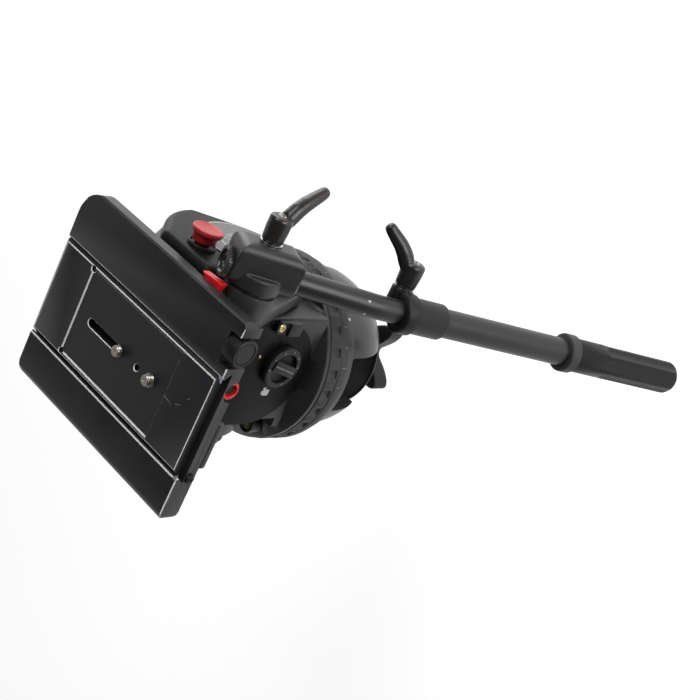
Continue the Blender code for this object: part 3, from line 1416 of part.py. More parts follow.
def camera_plate(plate_axis):
    top = PLATFORM_TOP_Z
    bottom = top - PLATE_THICKNESS
    slope = PLATE_THICKNESS - PLATE_FOOT
    wide = PLATE_HALF_TOP + slope
    centre = PLATE_CENTRE_X
    loop = [
        (centre - PLATE_HALF_TOP, top),
        (centre - wide, top - slope),
        (centre - wide, bottom),
        (centre + wide, bottom),
        (centre + wide, top - slope),
        (centre + PLATE_HALF_TOP, top),
    ]
    front = PLATFORM_FRONT_Y + GAP
    rear = PLATFORM_REAR_Y - PLATE_REAR_INSET
    obj = xz_outline("camera_plate", loop, front, rear, BLACK_ANODISED)
    bm = bmesh.new()
    bmesh.ops.create_cube(bm, size=1.0)
    wedge = 2.0 * PLATE_END_CHAMFER
    bmesh.ops.scale(bm, vec=(2.0 * wide + OVERRUN, wedge, wedge), verts=bm.verts)
    turn = Matrix.Rotation(math.radians(45.0), 4, "X")
    bmesh.ops.transform(bm, matrix=turn, verts=bm.verts)
    bevel = add_object("plate_front_chamfer", finish_bmesh(bm, "plate_front_chamfer"), None, True)
    bevel.location = (centre, front, top)
    half = PLATE_HALF_TOP - POCKET_RIM
    pocket = box(
        "plate_pocket",
        (centre - half, POCKET_FRONT_Y, top - POCKET_DEPTH),
        (centre + half, POCKET_REAR_Y, top + OVERRUN),
        cutter=True,
    )
    cut(obj, bevel, pocket)
    for name, x in (("relief_left", centre - half), ("relief_right", centre + half)):
        low = (x, POCKET_FRONT_Y, top - POCKET_DEPTH * 2.0)
        high = (x, POCKET_FRONT_Y, top + OVERRUN)
        cut(obj, rod(name, POCKET_RELIEF_R, low, high, cutter=True, steps=TINY_STEPS))
    shank = SCREW_R + SCREW_CLEARANCE
    head = SCREW_HEAD_R + SCREW_CLEARANCE
    head_seat_z = bottom + SCREW_HEAD + 2.0 * GAP
    slots = (
        ("front_slot", shank, SLOT_FRONT_Y, SCREW_FRONT_Y, bottom - OVERRUN, top + OVERRUN),
        ("front_slot_head", head, SLOT_FRONT_Y, SCREW_FRONT_Y, bottom - OVERRUN, head_seat_z),
    )
    for name, radius, from_y, to_y, low, high in slots:
        loop = arc((centre, to_y), radius, 0.0, 180.0, 10) + arc((centre, from_y), radius, 180.0, 360.0, 10)
        cut(obj, xy_outline(name, loop, low, high, cutter=True))
    rear_low = (centre, SCREW_REAR_Y, bottom - OVERRUN)
    cut(
        obj,
        rod("rear_screw_hole", shank, rear_low, (centre, SCREW_REAR_Y, top + OVERRUN), cutter=True, steps=24),
        rod(
            "rear_head_hole",
            head,
            rear_low,
            (centre, SCREW_REAR_Y, bottom + SCREW_HEAD + 2.0 * GAP),
            cutter=True,
            steps=24,
        ),
        rod(
            "pin_hole",
            PIN_HOLE_R,
            (centre, PIN_HOLE_Y, bottom - OVERRUN),
            (centre, PIN_HOLE_Y, top + OVERRUN),
            cutter=True,
            steps=TINY_STEPS,
        ),
    )
    under(obj, plate_axis)
    return obj


def camera_screw(name, y, axis):
    bottom = PLATFORM_TOP_Z - PLATE_THICKNESS + GAP
    neck = bottom + SCREW_HEAD
    tip = PLATFORM_TOP_Z + SCREW_PROUD
    chamfer = SCREW_CLEARANCE
    obj = turned(
        name,
        [
            (0.0, tip),
            (SCREW_R - chamfer, tip),
            (SCREW_R, tip - chamfer),
            (SCREW_R, neck),
            (SCREW_HEAD_R, neck),
            (SCREW_HEAD_R, bottom),
            (0.0, bottom),
        ],
        STEEL,
        steps=24,
    )
    obj.location = (PLATE_CENTRE_X, y, 0.0)
    under(obj, axis)


def lock_knob(axis):
    length = LOCK_KNOB_REAR_Y - LOCK_KNOB_FRONT_Y
    loop = []
    for i in range(LOCK_KNOB_FLUTES):
        turn = 360.0 * i / LOCK_KNOB_FLUTES
        step = 360.0 / LOCK_KNOB_FLUTES
        inner = LOCK_KNOB_R - LOCK_KNOB_FLUTE_R
        for radius, share in zip((LOCK_KNOB_R, LOCK_KNOB_R, inner, inner), FLUTE_SHARES):
            point = polar(radius, turn + share * step)
            loop.append((point.x, point.y))
    middle = (LOCK_KNOB_X, LOCK_KNOB_FRONT_Y + length / 2.0, LOCK_KNOB_Z)
    obj = outline("plate_lock_knob", [loop], length, middle, (0, 1, 0), (1, 0, 0), BLACK_PLASTIC)
    groove = turned(
        "lock_face_groove",
        [
            (LOCK_KNOB_RING_R + LOCK_KNOB_FLUTE_R, OVERRUN),
            (LOCK_KNOB_RING_R + LOCK_KNOB_FLUTE_R, -LOCK_KNOB_RING_DEPTH),
            (LOCK_KNOB_RING_R, -LOCK_KNOB_RING_DEPTH),
            (LOCK_KNOB_RING_R, OVERRUN),
        ],
        cutter=True,
        steps=24,
        closed=True,
    )
    aim(groove, (LOCK_KNOB_X, LOCK_KNOB_REAR_Y, LOCK_KNOB_Z), (0, 1, 0), (1, 0, 0))
    seat = LOCK_KNOB_FRONT_Y + LOCK_SHAFT_R
    hole = rod(
        "lock_knob_hole",
        LOCK_SHAFT_R + GAP,
        (LOCK_KNOB_X, LOCK_KNOB_FRONT_Y - OVERRUN, LOCK_KNOB_Z),
        (LOCK_KNOB_X, seat + GAP, LOCK_KNOB_Z),
        cutter=True,
        steps=TINY_STEPS,
    )
    cut(obj, groove, hole)
    under(obj, axis)
    shaft = rod(
        "lock_knob_shaft",
        LOCK_SHAFT_R,
        (LOCK_KNOB_X, LOCK_KNOB_FRONT_Y - LOCK_SHAFT_LENGTH, LOCK_KNOB_Z),
        (LOCK_KNOB_X, seat, LOCK_KNOB_Z),
        STEEL,
        steps=TINY_STEPS,
    )
    under(shaft, axis)


def platform_fittings(tilt_axis, catch_axis, release_axis):
    catch_z = PLATFORM_BOTTOM_Z + CATCH_DROP
    catch_front = PLATFORM_REAR_Y - CATCH_DEPTH
    catch_back = (CATCH_X, PLATFORM_REAR_Y, catch_z)
    obj = rod("safety_catch", CATCH_R, (CATCH_X, catch_front, catch_z), catch_back, RED_PLASTIC)
    stem_z = catch_z + CATCH_STEM_RISE
    stem = rod(
        "catch_stem",
        CATCH_STEM_R,
        (CATCH_X, catch_front - CATCH_STEM_LENGTH, stem_z),
        (CATCH_X, catch_front + CATCH_DEPTH / 2.0, stem_z),
        cutter=True,
        steps=TINY_STEPS,
    )
    join(obj, stem)
    under(obj, catch_axis)
    screw_z = (PLATFORM_TOP_Z - PLATE_THICKNESS + PLATFORM_BOTTOM_Z) / 2.0
    screw = turned(
        "stop_screw",
        [
            (0.0, STOP_SCREW_HEAD),
            (STOP_SCREW_R / 2.0, STOP_SCREW_HEAD),
            (STOP_SCREW_R, STOP_SCREW_HEAD / 2.0),
            (STOP_SCREW_R, 0.0),
            (STOP_SCREW_SHANK_R, 0.0),
            (STOP_SCREW_SHANK_R, -STOP_SCREW_SHANK),
            (0.0, -STOP_SCREW_SHANK),
        ],
        BLACK_PLASTIC,
        steps=TINY_STEPS,
    )
    aim(screw, (STOP_SCREW_X, PLATFORM_REAR_Y + GAP, screw_z), (0, 1, 0), (1, 0, 0))
    under(screw, tilt_axis)
    top = PLATFORM_BOTTOM_Z - GAP
    housing = box(
        "plate_clamp_housing",
        (CLAMP_BOX_FROM_X, CLAMP_BOX_FROM_Y, top - CLAMP_BOX_HEIGHT),
        (CLAMP_BOX_TO_X, CLAMP_BOX_TO_Y, top),
        BLACK_ANODISED,
    )
    round_edges(housing, CLAMP_BOX_EDGE, 2, 50.0)
    under(housing, tilt_axis)
    lever_top = PLATFORM_BOTTOM_Z + RELEASE_POCKET_HEIGHT - GAP
    lever_bottom = lever_top - RELEASE_THICKNESS
    hub = arc((RELEASE_PIVOT_X, RELEASE_PIVOT_Y), RELEASE_HUB_R, 0.0, 360.0, 20)
    tip = [
        (RELEASE_TIP_X, RELEASE_TIP_FRONT_Y),
        (RELEASE_TIP_REAR_X, RELEASE_TIP_REAR_Y),
    ]
    lever = xy_outline("release_lever", hull(hub + tip), lever_bottom, lever_top, RED_PLASTIC)
    round_edges(lever, RELEASE_EDGE, 2, 50.0)
    hole_low = (RELEASE_PIVOT_X, RELEASE_PIVOT_Y, lever_bottom - OVERRUN)
    hole_high = (RELEASE_PIVOT_X, RELEASE_PIVOT_Y, lever_top + OVERRUN)
    cut(lever, rod("release_hole", RELEASE_PIN_R + GAP, hole_low, hole_high, cutter=True, steps=TINY_STEPS))
    under(lever, release_axis)
    seat = PLATFORM_BOTTOM_Z + RELEASE_POCKET_HEIGHT + RELEASE_PIN_SEAT
    head_z = lever_bottom - GAP
    pin = turned(
        "release_lever_pin",
        [
            (0.0, seat),
            (RELEASE_PIN_R, seat),
            (RELEASE_PIN_R, head_z),
            (RELEASE_PIN_HEAD_R, head_z),
            (RELEASE_PIN_HEAD_R, head_z - RELEASE_PIN_HEAD),
            (0.0, head_z - RELEASE_PIN_HEAD),
        ],
        STEEL,
        steps=TINY_STEPS,
    )
    pin.location = (RELEASE_PIVOT_X, RELEASE_PIVOT_Y, 0.0)
    under(pin, tilt_axis)


# Pan bar
def bar_direction(degrees):
    angle = math.radians(degrees)
    return Vector((0.0, math.sin(angle), -math.cos(angle)))


NEAR = bar_direction(BAR_NEAR_DEG)
FAR = bar_direction(BAR_FAR_DEG)
NEAR_SIDE = Vector((0.0, math.cos(math.radians(BAR_NEAR_DEG)), math.sin(math.radians(BAR_NEAR_DEG))))
FRONT_SIDE = Vector((0.0, -math.cos(math.radians(BAR_FAR_DEG)), -math.sin(math.radians(BAR_FAR_DEG))))
BARREL_START = Vector((BAR_X, BAR_CAP_Y, BAR_CAP_Z))
BAR_EXIT = BARREL_START + NEAR * BARREL_LENGTH
BEND_START = BAR_EXIT + NEAR * BEND_FROM_EXIT


def bend_points():
    """Points round the bend, from the near straight to the far one."""
    centre = BEND_START - NEAR_SIDE * BEND_R
    points = []
    for i in range(BEND_POINTS + 1):
        degrees = BAR_NEAR_DEG + (BAR_FAR_DEG - BAR_NEAR_DEG) * i / BEND_POINTS
        angle = math.radians(degrees)
        points.append(centre + Vector((0.0, math.cos(angle), math.sin(angle))) * BEND_R)
    return points


BEND = bend_points()
BEND_END = BEND[-1]
COLLAR_START = BEND_END + FAR * COLLAR_FROM_BEND
COLLAR_RING_END = COLLAR_START + FAR * COLLAR_RING_LENGTH
SLEEVE_END = COLLAR_RING_END + FAR * COLLAR_SLEEVE_LENGTH
OUTER_START = SLEEVE_END - FAR * OUTER_TUBE_SEAT
GRIP_RING_START = SLEEVE_END + FAR * (OUTER_TUBE_TO_GRIP - OUTER_TUBE_SEAT)
GRIP_START = GRIP_RING_START + FAR * GRIP_RING_LENGTH
COLLAR_LEVER_POINT = COLLAR_START + FAR * (COLLAR_RING_LENGTH / 2.0) + FRONT_SIDE * COLLAR_EAR_OFFSET


def bar_bracket(bracket_axis):
    centre_y, centre_z = ROSETTE_Y, ROSETTE_Z
    depth = BRACKET_INNER_X - BAR_X
    obj = turned(
        "bar_bracket",
        [
            (0.0, depth),
            (BRACKET_BOSS_R - BRACKET_EDGE, depth),
            (BRACKET_BOSS_R, depth - BRACKET_EDGE),
            (BRACKET_BOSS_R, 0.0),
            (0.0, 0.0),
        ],
        DARK_GREY,
        steps=40,
    )
    aim(obj, (BRACKET_INNER_X, centre_y, centre_z), (-1, 0, 0), (0, 1, 0))
    height = BAR_X - BRACKET_OUTER_X
    face_edge = BRACKET_FACE_HALF_WIDTH - BRACKET_FACE_EDGE
    section = arc((0.0, 0.0), BARREL_R, 90.0, 270.0, 14)
    section += arc((height - BRACKET_FACE_EDGE, -face_edge), BRACKET_FACE_EDGE, 270.0, 360.0, 4)
    section += arc((height - BRACKET_FACE_EDGE, face_edge), BRACKET_FACE_EDGE, 0.0, 90.0, 4)
    middle = (BARREL_START + BAR_EXIT) / 2.0
    body = outline("bracket_body", [section], BARREL_LENGTH, middle, NEAR, (-1, 0, 0), cutter=True)
    low = -BARREL_R - OVERRUN
    side = [(0.0, low), (BARREL_LENGTH, low)]
    tube_end = (BARREL_LENGTH - BRACKET_TUBE_END_R, height - BRACKET_TUBE_END_R)
    side += arc(tube_end, BRACKET_TUBE_END_R, 0.0, 90.0, 6)
    side += arc((BRACKET_CAP_END_R, height - BRACKET_CAP_END_R), BRACKET_CAP_END_R, 90.0, 180.0, 6)
    width = 2.0 * (BRACKET_FACE_HALF_WIDTH + OVERRUN)
    side_block = outline("bracket_side", [side], width, BARREL_START, NEAR_SIDE, NEAR, cutter=True)
    boolean(body, side_block, "INTERSECT")
    join(obj, body)
    seat_start = BAR_EXIT - NEAR * (TUBE_SEAT_DEPTH + GAP)
    bore_end = BAR_EXIT + NEAR * OVERRUN
    tube_bore = rod("bracket_tube_bore", TUBE_R + GAP, seat_start, bore_end, cutter=True, steps=32)
    cap_bore = rod(
        "bracket_cap_bore",
        END_CAP_SPIGOT_R + GAP,
        BARREL_START - NEAR * OVERRUN,
        BARREL_START + NEAR * (END_CAP_SPIGOT + GAP),
        cutter=True,
        steps=24,
    )
    bolt_bore = rod(
        "bracket_bolt_bore",
        BOLT_R + GAP,
        (BRACKET_OUTER_X - OVERRUN, centre_y, centre_z),
        (BRACKET_INNER_X + OVERRUN, centre_y, centre_z),
        cutter=True,
        steps=24,
    )
    cut(obj, tube_bore, cap_bore, bolt_bore)
    under(obj, bracket_axis)
    ring_x = ROSETTE_FACE_X - GAP
    ring = turned(
        "rosette_ring",
        [
            (ROSETTE_RING_R, ROSETTE_RING_THICKNESS),
            (ROSETTE_RING_R, 0.0),
            (BOLT_R + GAP, 0.0),
            (BOLT_R + GAP, ROSETTE_RING_THICKNESS),
        ],
        STEEL,
        steps=36,
        closed=True,
    )
    aim(ring, (ring_x, centre_y, centre_z), (-1, 0, 0), (0, 1, 0))
    return ring


def end_cap(bracket_axis):
    loop = []
    for i in range(END_CAP_FLUTES):
        turn = 360.0 * i / END_CAP_FLUTES
        step = 360.0 / END_CAP_FLUTES
        inner = END_CAP_R - END_CAP_FLUTE_R
        for radius, share in zip((END_CAP_R, END_CAP_R, inner, inner), CAP_FLUTE_SHARES):
            point = polar(radius, turn + share * step)
            loop.append((point.x, point.y))
    end = BARREL_START - NEAR * GAP
    middle = end - NEAR * (END_CAP_LENGTH / 2.0)
    obj = outline("bar_end_cap", [loop], END_CAP_LENGTH, middle, -NEAR, (1, 0, 0), BLACK_PLASTIC)
    spigot = rod(
        "cap_spigot",
        END_CAP_SPIGOT_R,
        middle,
        BARREL_START + NEAR * END_CAP_SPIGOT,
        cutter=True,
        steps=24,
    )
    join(obj, spigot)
    dish_top = middle - NEAR * (END_CAP_LENGTH / 2.0)
    dish = rod(
        "cap_dish",
        END_CAP_DISH_R,
        dish_top + NEAR * END_CAP_DISH_DEPTH,
        dish_top - NEAR * OVERRUN,
        cutter=True,
        steps=24,
    )
    cut(obj, dish)
    under(obj, bracket_axis)


def clamp_lever(stem, seat, reach, rise, degrees, bolt_end_x, lever_axis, fixed_axis):
    """A washer, a head with its screw and bolt, and a handle that climbs away from the clamp."""
    outward = Vector((-1.0, 0.0, 0.0))
    washer = turned(
        f"{stem}_washer",
        [
            (WASHER_R, WASHER_THICKNESS),
            (WASHER_R, 0.0),
            (BOLT_R + GAP, 0.0),
            (BOLT_R + GAP, WASHER_THICKNESS),
        ],
        CHROME,
        steps=SMALL_STEPS,
        closed=True,
    )
    aim(washer, seat, outward, (0, 1, 0))
    under(washer, fixed_axis)
    foot = seat + outward * (WASHER_THICKNESS + GAP)
    head = turned(
        f"{stem}_lever",
        [
            (0.0, LEVER_HEAD_HEIGHT),
            (LEVER_HEAD_R - LEVER_ROUND, LEVER_HEAD_HEIGHT),
            (LEVER_HEAD_R, LEVER_HEAD_HEIGHT - LEVER_ROUND),
            (LEVER_HEAD_R, LEVER_HEAD_HEIGHT / 2.0),
            (LEVER_HEAD_FOOT_R, 0.0),
            (0.0, 0.0),
        ],
        BLACK_PLASTIC,
        steps=SMALL_STEPS,
    )
    aim(head, foot, outward, (0, 1, 0))
    turn = math.radians(degrees)
    along = Vector((0.0, math.cos(turn), math.sin(turn)))
    root = foot + outward * (LEVER_HEAD_HEIGHT - LEVER_ROOT_DROP)
    knee = root + along * (reach * KNEE_REACH_SHARE) + outward * (rise * KNEE_RISE_SHARE)
    elbow = root + along * (reach * ELBOW_REACH_SHARE) + outward * (rise * ELBOW_RISE_SHARE)
    tip = root + along * reach + outward * rise
    curve = bpy.data.curves.new(f"{stem}_handle", "CURVE")
    curve.dimensions = "3D"
    curve.bevel_depth = 1.0
    curve.bevel_resolution = 3
    curve.use_fill_caps = True
    spline = curve.splines.new("POLY")
    rounding = (tip - elbow).normalized()
    stations = (
        (root, LEVER_ROOT_R),
        (knee, LEVER_ROOT_R),
        (elbow, (LEVER_ROOT_R + LEVER_TIP_R) / 2.0),
        (tip - rounding * LEVER_TIP_R / 2.0, LEVER_TIP_R),
        (tip, LEVER_TIP_R * TIP_END_SHARE),
    )
    spline.points.add(len(stations) - 1)
    for point, (place, radius) in zip(spline.points, stations):
        point.co = (*place, 1.0)
        point.radius = radius
    handle = bpy.data.objects.new(f"{stem}_handle", curve)
    PARTS.objects.link(handle)
    join(head, mesh_from_curve(handle, f"{stem}_handle", cutter=True))
    crown = foot + outward * LEVER_HEAD_HEIGHT
    screw_hole = rod(
        f"{stem}_screw_hole",
        LEVER_SCREW_R + GAP,
        crown - outward * LEVER_SCREW_DEPTH,
        crown + outward * OVERRUN,
        cutter=True,
        steps=TINY_STEPS,
    )
    bolt_hole = rod(
        f"{stem}_bolt_seat",
        BOLT_R + GAP,
        foot - outward * OVERRUN,
        foot + outward * (LEVER_BOLT_SEAT + GAP),
        cutter=True,
        steps=24,
    )
    cut(head, screw_hole, bolt_hole)
    under(head, lever_axis)
    screw = rod(
        f"{stem}_lever_screw",
        LEVER_SCREW_R,
        crown - outward * (LEVER_SCREW_DEPTH - GAP),
        crown + outward * LEVER_SCREW_PROUD,
        CHROME,
        steps=TINY_STEPS,
    )
    under(screw, lever_axis)
    bolt_end = (bolt_end_x, seat.y, seat.z)
    bolt = rod(f"{stem}_bolt", BOLT_R, bolt_end, foot + outward * LEVER_BOLT_SEAT, STEEL, steps=24)
    under(bolt, lever_axis)


def inner_tube(bracket_axis):
    curve = bpy.data.curves.new("inner_tube", "CURVE")
    curve.dimensions = "3D"
    curve.bevel_depth = TUBE_R
    curve.bevel_resolution = 6
    curve.use_fill_caps = True
    spline = curve.splines.new("POLY")
    route = [BAR_EXIT - NEAR * TUBE_SEAT_DEPTH] + BEND
    route.append(OUTER_START + FAR * TUBE_INSIDE_OUTER)
    spline.points.add(len(route) - 1)
    for point, place in zip(spline.points, route):
        point.co = (*place, 1.0)
    handle = bpy.data.objects.new("inner_tube_curve", curve)
    PARTS.objects.link(handle)
    tube = smooth(mesh_from_curve(handle, "inner_tube", BLACK_ANODISED))
    base = BAR_EXIT + NEAR * TUBE_PIN_FROM_EXIT
    for index, degrees in enumerate((90.0 - TUBE_PIN_SPREAD_DEG, 90.0 + TUBE_PIN_SPREAD_DEG)):
        angle = math.radians(degrees)
        normal = Vector((-1.0, 0.0, 0.0)) * math.cos(angle) + NEAR_SIDE * math.sin(angle)
        hole = rod(
            f"tube_pin_hole_{index + 1}",
            TUBE_PIN_R + GAP,
            base + normal * (TUBE_R - TUBE_PIN_DEPTH),
            base + normal * (TUBE_R + OVERRUN),
            cutter=True,
            steps=12,
        )
        cut(tube, hole)
        pin = rod(
            f"tube_pin_{index + 1}",
            TUBE_PIN_R,
            base + normal * (TUBE_R - TUBE_PIN_DEPTH + GAP),
            base + normal * (TUBE_R + TUBE_PIN_PROUD),
            STEEL,
            steps=12,
        )
        under(pin, bracket_axis)
    under(tube, bracket_axis)


def collar(slide_axis):
    inner = TUBE_R + TUBE_BORE_CLEARANCE
    obj = rod("bar_collar", COLLAR_RING_R, COLLAR_START, COLLAR_RING_END, BLACK_PLASTIC, steps=32)
    sleeve_start = COLLAR_START + FAR * GAP
    sleeve = rod("collar_sleeve", COLLAR_SLEEVE_R, sleeve_start, SLEEVE_END, cutter=True, steps=32)
    point = COLLAR_LEVER_POINT
    ear = rod(
        "collar_ear",
        COLLAR_EAR_R,
        (BAR_X + COLLAR_RING_R - COLLAR_EAR_INNER, point.y, point.z),
        (COLLAR_OUTER_X, point.y, point.z),
        cutter=True,
    )
    join(obj, sleeve, ear)
    bore_start = COLLAR_START - FAR * OVERRUN
    bore = rod("collar_bore", inner, bore_start, SLEEVE_END + FAR * OVERRUN, cutter=True, steps=32)
    seat = rod(
        "collar_tube_seat",
        OUTER_TUBE_R + GAP,
        OUTER_START - FAR * GAP,
        SLEEVE_END + FAR * OVERRUN,
        cutter=True,
        steps=32,
    )
    bolt_bore = rod(
        "collar_bolt_bore",
        BOLT_R + GAP,
        (BAR_X + COLLAR_RING_R + OVERRUN, point.y, point.z),
        (COLLAR_OUTER_X - OVERRUN, point.y, point.z),
        cutter=True,
        steps=24,
    )
    cut(obj, bore, seat, bolt_bore)
    bm = bmesh.new()
    bmesh.ops.create_cube(bm, size=1.0)
    reach = COLLAR_EAR_OFFSET + COLLAR_EAR_R + OVERRUN
    bmesh.ops.scale(bm, vec=(COLLAR_SLIT, reach, COLLAR_RING_LENGTH + OVERRUN), verts=bm.verts)
    slit = add_object("collar_slit", finish_bmesh(bm, "collar_slit"), None, True)
    along = COLLAR_RING_LENGTH / 2.0 - OVERRUN / 2.0
    middle = COLLAR_START + FAR * along + FRONT_SIDE * (reach / 2.0 + inner / 2.0)
    aim(slit, middle, FAR, (1, 0, 0))
    cut(obj, slit)
    under(obj, slide_axis)


def outer_tube(slide_axis):
    bore = TUBE_R + TUBE_BORE_CLEARANCE
    start = OUTER_START
    end = GRIP_START + FAR * (GRIP_LENGTH - GRIP_PLUG - GRIP_END_ROUND)
    length = (end - start).length
    tube = turned(
        "outer_tube",
        [(OUTER_TUBE_R, length), (OUTER_TUBE_R, 0.0), (bore, 0.0), (bore, length)],
        BLACK_ANODISED,
        steps=32,
        closed=True,
    )
    aim(tube, start, FAR, (1, 0, 0))
    under(tube, slide_axis)
    fit = OUTER_TUBE_R + GAP
    ring = turned(
        "grip_ring",
        [
            (GRIP_RING_R - GRIP_RING_EDGE, GRIP_RING_LENGTH),
            (GRIP_RING_R, GRIP_RING_LENGTH - GRIP_RING_EDGE),
            (GRIP_RING_R, GRIP_RING_EDGE),
            (GRIP_RING_R - GRIP_RING_EDGE, 0.0),
            (fit, 0.0),
            (fit, GRIP_RING_LENGTH),
        ],
        BLACK_RUBBER,
        steps=32,
        closed=True,
    )
    aim(ring, GRIP_RING_START, FAR, (1, 0, 0))
    under(ring, slide_axis)
    tube_depth = (end - GRIP_START).length + GAP
    grip = turned(
        "hand_grip",
        [
            (0.0, GRIP_LENGTH),
            (GRIP_R - GRIP_END_ROUND, GRIP_LENGTH),
            (GRIP_R - GRIP_END_ROUND * GRIP_ROUND_SHARE, GRIP_LENGTH - GRIP_END_ROUND * GRIP_ROUND_SHARE),
            (GRIP_R, GRIP_LENGTH - GRIP_END_ROUND),
            (GRIP_R, 0.0),
            (fit, 0.0),
            (fit, tube_depth),
            (0.0, tube_depth),
        ],
        BLACK_RUBBER,
        steps=GRIP_FLUTES * GRIP_FLUTE_STEPS,
    )
    origin = GRIP_START + FAR * GAP
    aim(grip, origin, FAR, (1, 0, 0))
    place = grip.matrix_world.copy()
    bm = bmesh.new()
    flute_end = GRIP_LENGTH + OVERRUN
    for i in range(GRIP_FLUTES):
        angle = 2.0 * math.pi * i / GRIP_FLUTES
        made = bmesh.ops.create_cone(
            bm,
            cap_ends=True,
            segments=GRIP_FLUTE_SEGMENTS,
            radius1=GRIP_FLUTE_R,
            radius2=GRIP_FLUTE_R,
            depth=flute_end - GRIP_FLUTE_START,
        )["verts"]
        out = GRIP_R + GRIP_FLUTE_R - GRIP_FLUTE_DEPTH
        spot = Vector((out * math.cos(angle), out * math.sin(angle), (flute_end + GRIP_FLUTE_START) / 2.0))
        bmesh.ops.transform(bm, matrix=place @ Matrix.Translation(spot), verts=made)
    cut(grip, add_object("grip_flutes", finish_bmesh(bm, "grip_flutes"), None, True))
    under(grip, slide_axis)


# Assembly
def assemble():
    base = empty("base_frame", (0, 0, 0))
    dish_axis = empty("dish_slide", (0, 0, DISH_RIM_Z), base)
    knob_axis = empty("knob_turn", (0, 0, DISH_RIM_Z), base)
    ring_axis = empty("ring_turn", (0, 0, RING_BOTTOM_Z), base)
    pan_axis = empty("pan_turn", (0, 0, DRUM_BOTTOM_Z), base)
    dial_axis = empty("dial_turn", (DIAL_X, PANEL_FACE_Y, DIAL_Z), pan_axis)
    brake_axis = empty("brake_turn", (BRAKE_X, PANEL_FACE_Y, BRAKE_Z), pan_axis)
    tilt_axis = empty("tilt_turn", (0, 0, TILT_Z), pan_axis)
    tilt_ring_axis = empty("tilt_ring_turn", (RIGHT_CHEEK_OUTER_X, 0, TILT_Z), tilt_axis)
    button_axis = empty("button_slide", (COVER_OUTER_X, BUTTON_Y, BUTTON_Z), tilt_axis)
    plate_axis = empty("plate_slide", (PLATE_CENTRE_X, 0, PLATFORM_TOP_Z), tilt_axis)
    front_screw_axis = empty("front_screw_turn", (PLATE_CENTRE_X, SCREW_FRONT_Y, PLATFORM_TOP_Z), plate_axis)
    rear_screw_axis = empty("rear_screw_turn", (PLATE_CENTRE_X, SCREW_REAR_Y, PLATFORM_TOP_Z), plate_axis)
    lock_axis = empty("lock_knob_turn", (LOCK_KNOB_X, LOCK_KNOB_REAR_Y, LOCK_KNOB_Z), tilt_axis)
    catch_axis = empty("catch_slide", (CATCH_X, PLATFORM_REAR_Y, PLATFORM_BOTTOM_Z), tilt_axis)
    release_axis = empty("release_turn", (RELEASE_PIVOT_X, RELEASE_PIVOT_Y, PLATFORM_BOTTOM_Z), tilt_axis)
    bracket_axis = empty("bracket_turn", (BRACKET_INNER_X, ROSETTE_Y, ROSETTE_Z), tilt_axis)
    bracket_lever_axis = empty("bracket_lever_turn", (BRACKET_OUTER_X, ROSETTE_Y, ROSETTE_Z), bracket_axis)
    slide_axis = empty("bar_slide", COLLAR_START, bracket_axis)
    point = COLLAR_LEVER_POINT
    collar_lever_axis = empty("collar_lever_turn", (COLLAR_OUTER_X, point.y, point.z), slide_axis)

    under(half_ball(), base)
    tie_down(dish_axis, knob_axis)
    pan_drag_ring(ring_axis)
    pan_core(base, pan_axis)
    pan_housing(pan_axis)
    rear_panel(pan_axis)
    counterbalance_dial(dial_axis)
    bubble_level(pan_axis)
    pan_brake(brake_axis)
    tilt_core(pan_axis, tilt_axis)
    cheeks(tilt_axis)
    side_cover(tilt_axis)
    tilt_lock_button(button_axis, tilt_axis)
    under(tilt_drag_ring(tilt_ring_axis), tilt_axis)
    platform(tilt_axis)
    camera_plate(plate_axis)
    camera_screw("camera_screw_front", SCREW_FRONT_Y, front_screw_axis)
    camera_screw("camera_screw_rear", SCREW_REAR_Y, rear_screw_axis)
    lock_knob(lock_axis)
    platform_fittings(tilt_axis, catch_axis, release_axis)
    under(bar_bracket(bracket_axis), tilt_axis)
    end_cap(bracket_axis)
    bracket_seat = Vector((BRACKET_OUTER_X - GAP, ROSETTE_Y, ROSETTE_Z))
    clamp_lever(
        "bracket",
        bracket_seat,
        BRACKET_LEVER_REACH,
        BRACKET_LEVER_RISE,
        BRACKET_LEVER_DEG,
        BOLT_INSIDE_X,
        bracket_lever_axis,
        bracket_axis,
    )
    inner_tube(bracket_axis)
    collar(slide_axis)
    collar_seat = Vector((COLLAR_OUTER_X - GAP, point.y, point.z))
    clamp_lever(
        "collar",
        collar_seat,
        COLLAR_LEVER_REACH,
        COLLAR_LEVER_RISE,
        COLLAR_LEVER_DEG,
        BAR_X + COLLAR_RING_R - COLLAR_EAR_INNER,
        collar_lever_axis,
        slide_axis,
    )
    outer_tube(slide_axis)


assemble()
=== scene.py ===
# %% [markdown]
# # A fluid video head, dressed for the camera
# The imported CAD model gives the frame: where every body is and how it moves.
# This script builds a finer piece for each CAD node, gives it a procedural material,
# and lets it ride on the body that carries it. Pieces are drawn in millimetres.

# %% Setup
import json
import math

import bmesh
import bpy
from mathutils import Matrix, Vector

